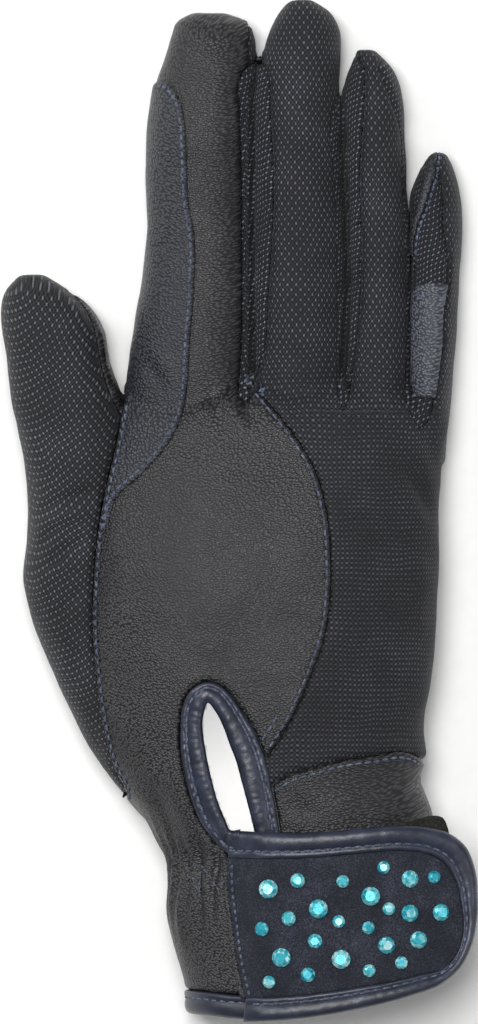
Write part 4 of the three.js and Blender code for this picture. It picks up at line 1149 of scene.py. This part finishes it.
def matched(free, lip_line, count):
    free = smooth_line(free, 0.25)
    rim = smooth_line(lip_line, 0.25)
    run = np.concatenate([[0], np.cumsum(np.linalg.norm(np.diff(free, axis=0), axis=1))])
    free = np.stack([np.interp(np.linspace(0, run[-1], count), run, free[:, a]) for a in (0, 1)], -1)
    near = np.array([np.argmin(((rim - p) ** 2).sum(1)) for p in free], float)
    near = np.maximum.accumulate(near)
    near[0], near[-1] = 0, len(rim) - 1
    wide = 9
    padded = np.concatenate([np.full(wide, near[0]), near, np.full(wide, near[-1])])
    near = np.convolve(padded, np.ones(2 * wide + 1) / (2 * wide + 1), "valid")
    return free, np.stack([np.interp(near, np.arange(len(rim)), rim[:, a]) for a in (0, 1)], -1)


def ribbon(free, rim, height_at):
    points = np.zeros((len(free), len(ROLL), 3))
    for j, (w, h) in enumerate(ROLL):
        flat = free + (rim - free) * w
        points[:, j, :2] = flat
        points[:, j, 2] = height_at(flat) + h
    return points.reshape(-1, 3), tube_faces(len(free), len(ROLL))


def outward(points, faces):
    a, b, c = (points[[face[i] for face in faces if len(face) == 4]] for i in (0, 1, 2))
    volume = np.einsum("ij,ij->", a, np.cross(b, c))
    return faces if volume > 0 else flipped(faces)


def skin_height(flat):
    heights = []
    for x, y in flat:
        at = whole.ray_cast(Vector((x, y, OVER)), DOWN)[0]
        heights.append(at.z if at else 0.0)
    heights = np.array(heights)
    padded = np.concatenate([heights[:1]] * 3 + [heights] + [heights[-1:]] * 3)
    return np.convolve(padded, np.ones(7) / 7, "valid")


def towards_strap(flat):
    height = skin_height(flat)
    near = np.clip((flat[:, 0] - 15) / 6, 0, 1) * (flat[:, 1] < 42) * (flat[:, 0] < 26)
    return height + eased(near) * np.maximum(strap_height(flat) + STRAP_WALL - LAP - height, 0)


lapped = on_hand([(0.345, 0.243), (0.345, 0.281)])
free_edge = [lapped[1], *SEAMS["keyhole_inner"][:-1]]
lip_edge = [lapped[0], *SEAMS["keyhole_outer"][:-1]]
free, rim = matched(free_edge, lip_edge, 320)
points, faces = ribbon(free, rim, towards_strap)
wrinkles = 0.16 * np.array([noise.noise(Vector((x / 1.1, y / 1.1, 4.0))) for x, y, _ in points])
points[:, 2] += wrinkles
piece("keyhole_roll", points, outward(points, faces), [navy_nappa], ["keyhole_binding"])
keyhole_stitches = free + (rim - free) * GROOVE

# %% The hem round the wrist
HEM_WIDTH = 5.4
HEM = [
    (0.02, -1.7), (0.0, -0.6), (0.0, 0.3), (0.06, 0.7), (0.18, 0.84), (0.26, 0.66), (0.3, 0.56),
    (0.35, 0.72), (0.5, 1.05), (0.68, 1.15), (0.85, 1.0), (0.96, 0.5), (1.0, -0.3), (0.98, -1.1),
    (0.9, -1.7), (0.4, -1.9)]
HEM_GROOVE = 6
FIRST_GUESS = 3.0
hem_line = line["hem"]


def hem_at(x):
    return np.interp(x, hem_line[:, 0], hem_line[:, 1])


def hem_rings(turns):
    y = np.full(len(turns), FIRST_GUESS)
    for _ in range(3):
        y = hem_at(ring(HAND, y, turns)[:, 0]) - 0.1
    return np.stack([ring(HAND, y - w * HEM_WIDTH, turns, h) for w, h in HEM], 1), y


turns = np.linspace(0, 2 * np.pi, 721)[:-1]
x = ring(HAND, np.full(len(turns), FIRST_GUESS), turns)[:, 0]
top_half = turns < np.pi
start = turns[top_half][np.argmin(abs(x[top_half] - (line["strap_seam"][1][0] + 1.6)))]
end = turns[top_half][np.argmin(abs(x[top_half] - (line["keyhole_outer"][-1][0])))]
round_way = np.linspace(start, end + 2 * np.pi, 520)
points, y = hem_rings(round_way)
faces = tube_faces(*points.shape[:2])
flat_points = points.reshape(-1, 3)
flat_points[:, 2] = np.maximum(flat_points[:, 2], 0)
piece("hem_roll", flat_points, outward(flat_points, faces), [navy_nappa], ["cuff_hem"])
hem_stitches = points[:, HEM_GROOVE]
print("the hem is", len(points), "rings round")

# %% [markdown]
# ## The strap
# The strap is a tab of suede that closes over the back of the wrist. It follows one curved line across the
# wrist, and its outline is cut in the plan, like a biscuit from rolled dough. Its binding runs all round but
# for the seam.

# %% The strap's line and outline
STRAP_OUTER = [
    (-0.014, 0.976), (0.27, 0.964), (0.44, 0.975), (0.609, 0.995), (0.694, 1), (0.778, 0.995), (0.879, 0.964),
    (0.948, 0.898), (0.988, 0.782), (1, 0.645), (0.996, 0.508), (0.972, 0.381), (0.923, 0.274), (0.847, 0.198),
    (0.734, 0.147), (0.524, 0.081), (0.27, 0.03), (0.058, 0.012)]
STRAP_INNER = [
    (0.058, 0.133), (0.27, 0.147), (0.44, 0.173), (0.609, 0.208), (0.778, 0.254), (0.863, 0.284),
    (0.911, 0.345), (0.94, 0.452), (0.935, 0.594), (0.911, 0.721), (0.863, 0.817), (0.778, 0.868),
    (0.694, 0.878), (0.524, 0.863), (0.27, 0.838), (-0.014, 0.838)]
STRAP_LEFT = [(-0.014, 0.838), (-0.012, 0.68), (0.004, 0.523), (0.024, 0.325), (0.058, 0.133)]
TAPE = [
    (0.65, 0.3), (0.65, 0.9), (0.685, 1.005), (0.74, 1.03), (0.778, 1.046), (0.823, 1.055), (0.86, 1.046),
    (0.881, 0.995), (0.89, 0.9), (0.915, 0.6), (0.87, 0.35)]
STONES = [
    (0.16, 0.685, "large"), (0.277, 0.728, "small"), (0.458, 0.724, "tiny"), (0.622, 0.794, "tiny"),
    (0.727, 0.736, "medium"), (0.825, 0.745, "tiny"), (0.571, 0.649, "large"), (0.36, 0.585, "large"),
    (0.242, 0.536, "small"), (0.442, 0.521, "tiny"), (0.643, 0.585, "tiny"), (0.727, 0.562, "medium"),
    (0.852, 0.565, "medium"), (0.134, 0.482, "small"), (0.56, 0.489, "tiny"), (0.347, 0.422, "small"),
    (0.762, 0.427, "medium"), (0.633, 0.401, "medium"), (0.213, 0.338, "large"), (0.452, 0.33, "large"),
    (0.694, 0.312, "tiny"), (0.564, 0.272, "tiny"), (0.319, 0.251, "small"), (0.163, 0.214, "tiny")]
strap_corner = on_hand([(0.309, 0.287)])[0]


def on_strap(points):
    return strap_corner + (np.array(points)[:, :2] + (0, -1)) * (STRAP_LENGTH, STRAP_WIDTH)


def slab(outline, low, high, puff=0.0, step=0.8):
    outline = np.asarray(outline)
    lo, hi = outline.min(0) - 3, outline.max(0) + 3
    xs, ys = np.arange(lo[0], hi[0], step), np.arange(lo[1], hi[1], step)
    grid = np.stack(np.meshgrid(xs, ys, indexing="ij"), -1).reshape(-1, 2)
    base = strap_height(grid)
    rim = smooth_line([*outline, outline[0]], 1.0)
    away = np.min(np.linalg.norm(grid[:, None] - rim[None], axis=2), axis=1)
    swell = puff * (1 - np.exp(-away / 3)) if puff else 0
    top = np.column_stack([grid, base + high + swell])
    points = np.concatenate([np.column_stack([grid, base + low]), top])
    nx, ny, m = len(xs), len(ys), len(grid)
    cells = [(i * ny + j, (i + 1) * ny + j, (i + 1) * ny + j + 1, i * ny + j + 1)
             for i in range(nx - 1) for j in range(ny - 1)]
    faces = [cell[::-1] for cell in cells] + [tuple(v + m for v in cell) for cell in cells]
    around = [i * ny for i in range(nx)] + [(nx - 1) * ny + j for j in range(1, ny)]
    around += [i * ny + ny - 1 for i in range(nx - 2, -1, -1)] + list(range(ny - 2, 0, -1))
    faces += [(a, b, b + m, a + m) for a, b in zip(around, around[1:] + around[:1])]
    return mesh_of("slab", points, faces)


def from_slab(outline, low, high, puff=0.0):
    solid = slab(outline, low, high, puff)
    solid.materials.append(kept_face)
    shape = cut([tall(outline)], [], solid)
    return points_of(shape), [tuple(f.vertices) for f in shape.polygons]


strap_outer, strap_inner, strap_left = (on_strap(rows) for rows in (STRAP_OUTER, STRAP_INNER, STRAP_LEFT))
strap_body = [*smooth_line(strap_inner), *strap_left[1:-1]]
points, faces = from_slab(strap_body, 0.0, STRAP_WALL, 0.35)
piece("strap_suede", points, faces, [suede], ["strap"])
print("the strap has", len(faces), "faces")

# %% The cuff's turned edge, which laps the suede at the seam
edge_line = smooth_line(strap_left, FINE_STEP)
at = np.column_stack([edge_line, strap_height(edge_line) + STRAP_WALL])
facing = np.tile((-0.35, 0.0, 0.94), (len(at), 1))
TURNED = [
    (-0.9, -2.4), (-0.85, -0.6), (-0.55, 0.25), (0.0, 0.5), (0.5, 0.35), (0.75, -0.1), (0.8, -0.6),
    (0.6, -2.4)]
points, faces = sweep(at, facing, TURNED, 1)
piece("cuff_edge", points, outward(points, faces), [black_leather])
print("the cuff's edge has", len(faces), "faces")

# %% The strap's binding and its hook tape
free, rim = matched(strap_outer, strap_inner[::-1], 420)
lift = STRAP_WALL - LAP
points, faces = ribbon(free, rim, lambda flat: strap_height(flat) + lift)
points[:, 2] += 0.1 * np.array([noise.noise(Vector((x / 2, y / 2, 9.0))) for x, y, _ in points])
piece("strap_roll", points, outward(points, faces), [navy_nappa], ["strap_binding"])
strap_stitches = free + (rim - free) * GROOVE
tape_outline = smooth_line([*on_strap(TAPE), on_strap(TAPE)[0]])[:-1]
tape_points, tape_faces = from_slab(tape_outline, -1.5, -0.3)
piece("strap_hooks", tape_points, tape_faces, [hooks], ["hook_tape"])

# %% [markdown]
# ## Cut stones
# Each stone is a flat-backed brilliant: a table, eight star facets and eight kites below it, and sixteen
# small facets down to the girdle. Flat shading keeps every facet plane, so that each takes the light at
# once.

# %% Stones
SIZES = {"large": 4.3, "medium": 3.9, "small": 3.3, "tiny": 2.9}
TILT = 9
rng = np.random.default_rng(24)


def brilliant(diameter, turn):
    r = diameter / 2
    table = [(0.56 * r, 0.37 * diameter, i * 45) for i in range(8)]
    kite = [(0.8 * r, 0.27 * diameter, i * 45 + 22.5) for i in range(8)]
    girdle = [(r, 0.13 * diameter, i * 22.5) for i in range(16)]
    foot = [(r, 0.0, i * 22.5) for i in range(16)]
    points = [(a * math.cos(math.radians(t) + turn), a * math.sin(math.radians(t) + turn), z)
              for a, z, t in table + kite + girdle + foot]
    faces = [tuple(range(8))]
    for i in range(8):
        nxt, g = (i + 1) % 8, 16 + 2 * i
        after, far = 16 + (2 * i + 1) % 16, 16 + (2 * i + 2) % 16
        faces += [(i, 8 + i, nxt), (i, 8 + (i - 1) % 8, g, 8 + i), (8 + i, g, after), (8 + i, after, far)]
    faces += [(16 + i, 32 + i, 32 + (i + 1) % 16, 16 + (i + 1) % 16) for i in range(16)]
    return np.array(points), faces + [tuple(range(32, 48))[::-1]]


for i, (u, v, size) in enumerate(STONES):
    flat = on_strap([(u, v)])
    base = strap_height(flat)[0] + STRAP_WALL + 0.3
    slope = math.atan((strap_height(flat + (1, 0))[0] - strap_height(flat - (1, 0))[0]) / 2)
    points, faces = brilliant(SIZES[size], rng.uniform(0, 2 * math.pi))
    slope += math.radians(rng.uniform(-TILT, TILT))
    c, t = math.cos(slope), math.sin(slope)
    points = points @ np.array([(c, 0, t), (0, 1, 0), (-t, 0, c)]) + (*flat[0], base)
    stone = piece(f"stone_{i + 1:02d}", points, faces, [crystal_glass],
                  [f"crystal_{i + 1:02d}"], smooth=False)
    # Each facet gets a painted reflection tone, and the table a tone of its own.
    tones = rng.uniform(0, 1, len(faces)) * 0.55 + rng.uniform(0, 0.35)
    tones[0] = rng.uniform(0.2, 0.75)
    stone.data.attributes.new("facet", "FLOAT", "FACE").data.foreach_set("value", tones)
print(len(STONES), "stones")

# %% [markdown]
# ## Stitches
# A lockstitch shows on the face as a row of short bars of thread, each pulled a little into the material at
# both ends. Every stitch here is a small arched bar of its own, laid along its line at the machine's pitch.

# %% Stitches
THREAD, PITCH = 0.28, 2.3


def bars(at, facing, pitch=PITCH, share=0.72, radius=THREAD, lift=0.24):
    run = np.concatenate([[0], np.cumsum(np.linalg.norm(np.diff(at, axis=0), axis=1))])
    made = []
    for start in np.arange(0.3, run[-1] - pitch * share, pitch):
        span = start + np.linspace(0, pitch * share, 6)
        spot = np.stack([np.interp(span, run, at[:, a]) for a in range(3)], -1)
        face = np.stack([np.interp(span, run, facing[:, a]) for a in range(3)], -1)
        ahead = np.gradient(spot, axis=0)
        ahead /= np.linalg.norm(ahead, axis=1, keepdims=True)
        side = np.cross(ahead, face)
        share_along = np.linspace(-1, 1, 6)
        arch = lift - 0.32 * np.abs(share_along) ** 4
        girth = radius * (1 - 0.45 * np.abs(share_along) ** 4)
        turn = np.arange(6) * math.pi / 3
        points = (spot + face * arch[:, None])[:, None] + girth[:, None, None] * (
            side[:, None] * np.cos(turn)[None, :, None] + face[:, None] * np.sin(turn)[None, :, None])
        faces = [(i * 6 + j, i * 6 + (j + 1) % 6, (i + 1) * 6 + (j + 1) % 6, (i + 1) * 6 + j)
                 for i in range(5) for j in range(6)]
        made.append((points.reshape(-1, 3), [tuple(range(6))[::-1], *faces, tuple(range(30, 36))]))
    return made


def fine(path):
    return smooth_line(path, FINE_STEP)


SECOND_ROW_FROM = 170
navy_rows = [
    (offset(fine(line["oval"]), 1.2), 2.3),
    (offset(fine(line["oval"])[SECOND_ROW_FROM:], 3.4), 2.3),
    (offset(fine(line["index_patch"]), 1.1), 1.9),
    (offset(fine(line["thumb"])[:-HIDDEN_END], -1.0), 2.2),
    (offset(fine(line["band"]), 1.4), 2.2),
    (fine(on_finger(little, [(0.43, 0.08), (0.45, 0.4), (0.44, 0.7)])), 1.6),
    (fine(on_finger(little, [(0.09, 0.08), (0.1, 0.35), (0.1, 0.58)])), 1.6),
    (offset(fine(SEAMS["tip_patch"][1:9]), 0.5), 1.7),
]
black_rows = [(offset(fine(line[name]), 0.7), 1.9) for name in ("middle_left", "ring_left", "little_left")]
ROWS = {"seam_stitches": (navy_rows, thread), "mesh_stitches": (black_rows, dark_thread)}
for name, (rows, material) in ROWS.items():
    parts = []
    for path, pitch in rows:
        at, facing = drape(path)
        if len(at):
            parts += bars(at, facing, pitch)
    points, faces = together(parts)
    piece(name, points, faces, [material])
    print(f"{name}: {len(parts)}")

# %% Stitches of the bindings and the elastic
def raised(flat, height_at, lift):
    at = np.column_stack([flat, height_at(flat) + lift])
    facing = np.tile((0.0, 0.0, 1.0), (len(at), 1))
    return at, facing


def subdivided(corners, count):
    return np.concatenate([np.linspace(a, b, count) for a, b in zip(corners, corners[1:])])


TACK_START, TACK_STEP, TACK_SWING, TACK_TURNS = (26.4, 142.2), 0.42, 0.9, 11
GROOVE_HEIGHT = 0.62
tack = []
for i in range(TACK_TURNS):
    swing = TACK_SWING * (-1) ** i
    x, y = TACK_START[0] + TACK_STEP * i, TACK_START[1] - TACK_STEP * i
    tack.append((x + swing, y + swing))
parts = bars(*drape(subdivided(np.array(tack), 5), whole), 1.7, 0.9, 0.3, 0.25)
parts += bars(*raised(keyhole_stitches, towards_strap, GROOVE_HEIGHT))
parts += bars(*raised(strap_stitches, strap_height, lift + GROOVE_HEIGHT))
upper_hem = hem_stitches[hem_stitches[:, 2] > 3]
WRIST_AXIS_X, WRIST_AXIS_Z = 40.0, 10
outwards = upper_hem - (WRIST_AXIS_X, 0, WRIST_AXIS_Z)
outwards[:, 1] = 0
parts += bars(upper_hem, outwards / np.linalg.norm(outwards, axis=1, keepdims=True), lift=0.05)
seam_side = offset(smooth_line(strap_left[::-1], FINE_STEP), 1.5)
parts += bars(*raised(seam_side, strap_height, STRAP_WALL + 0.25), pitch=1.7, share=0.6)
points, faces = together(parts)
piece("binding_stitches", points, faces, [thread])

# %% The zigzag over the elastic, read from a picture
MM_PER_PIXEL = 0.2275
ZERO_PIXEL = (130, 1003)
ZIGZAG_PIXELS = [
    (183, 869), (187, 880), (192, 876), (199, 893), (200, 880), (203, 866), (211, 878), (219, 889),
    (223, 882), (228, 877)]
zigzag = (np.array(ZIGZAG_PIXELS) - ZERO_PIXEL) * (MM_PER_PIXEL, -MM_PER_PIXEL)
at, facing = drape(subdivided(zigzag, 8))
points, faces = together(bars(at, facing, 1.9, 0.8, 0.16))
piece("elastic_stitches", points, faces, [pale_thread])

# %% [markdown]
# ## Floor, light and camera
# The glove lies on white paper. A large soft light hangs almost straight above it, a second one stands at
# the upper left and gives the leather its broad sheen, and a weak one at the right keeps that side from
# going black. The camera looks straight down from far off, so that the glove's height hardly changes its
# outline.

# %% Floor
paper, tree, surface = finish_of("white_paper", Roughness=0.9, IOR=1.45)
place = add(tree, "TexCoord").outputs["Object"]
fibre = add(tree, "TexNoise", {"Vector": place, "Scale": 300.0, "Detail": 2.0})
colour = ramp(tree, fibre.outputs["Fac"], [(0.3, "#fafaf9"), (0.7, "#fdfdfc")])
tree.links.new(colour, surface.inputs["Base Color"])
HALF = 3.0
FLOOR_GAP = 0.0002
corners = [(-HALF, -HALF, 0), (HALF, -HALF, 0), (HALF, HALF, 0), (-HALF, HALF, 0)]
floor_mesh = bpy.data.meshes.new("floor")
floor_mesh.from_pydata(corners, [], [(0, 1, 2, 3)])
floor_mesh.materials.append(paper)
floor = scratch(floor_mesh)
floor.location.z = -FLOOR_GAP

# %% Lights
def softbox(name, place, size, power):
    lamp = bpy.data.lights.new(name, "AREA")
    lamp.shape, lamp.size, lamp.energy = "SQUARE", size, power
    thing = bpy.data.objects.new(name, lamp)
    thing.location = place
    thing.rotation_mode = "QUATERNION"
    thing.rotation_quaternion = (-Vector(place)).to_track_quat("-Z", "Y")
    bpy.context.scene.collection.objects.link(thing)


# name, place in metres, side of the square in metres, power in watts
LAMPS = [
    ("overhead", (-0.16, 0.26, 1.45), 0.65, 18),
    ("upper_left", (-1.0, 0.7, 0.8), 0.5, 6.5),
    ("right", (1.1, -0.2, 0.9), 0.6, 3),
]
ROOM_LIGHT = 0.2
for name, place, size, power in LAMPS:
    softbox(name, place, size, power)
world = bpy.data.worlds.new("studio")
world.use_nodes = True
background = world.node_tree.nodes["Background"]
background.inputs["Color"].default_value = (1, 1, 1, 1)
background.inputs["Strength"].default_value = ROOM_LIGHT
bpy.context.scene.world = world
bpy.context.scene.view_settings.view_transform = "Standard"

# %% Camera
# lens and sensor in millimetres; the picture's height on the object, its centre and its plane in metres
LENS, SENSOR = 700.0, 36.0
PICTURE_HEIGHT = 0.23296
CENTRE_X, CENTRE_Y, PLANE_Z = 0.0001, -0.0002, 0.018
camera = bpy.data.objects.new("camera", bpy.data.cameras.new("camera"))
camera.data.lens, camera.data.sensor_width = LENS, SENSOR
camera.location = (CENTRE_X, CENTRE_Y, PLANE_Z + LENS / SENSOR * PICTURE_HEIGHT)
camera.data.clip_end = 100
bpy.context.scene.collection.objects.link(camera)
bpy.context.scene.camera = camera

# %% Finish
bpy.context.view_layer.update()
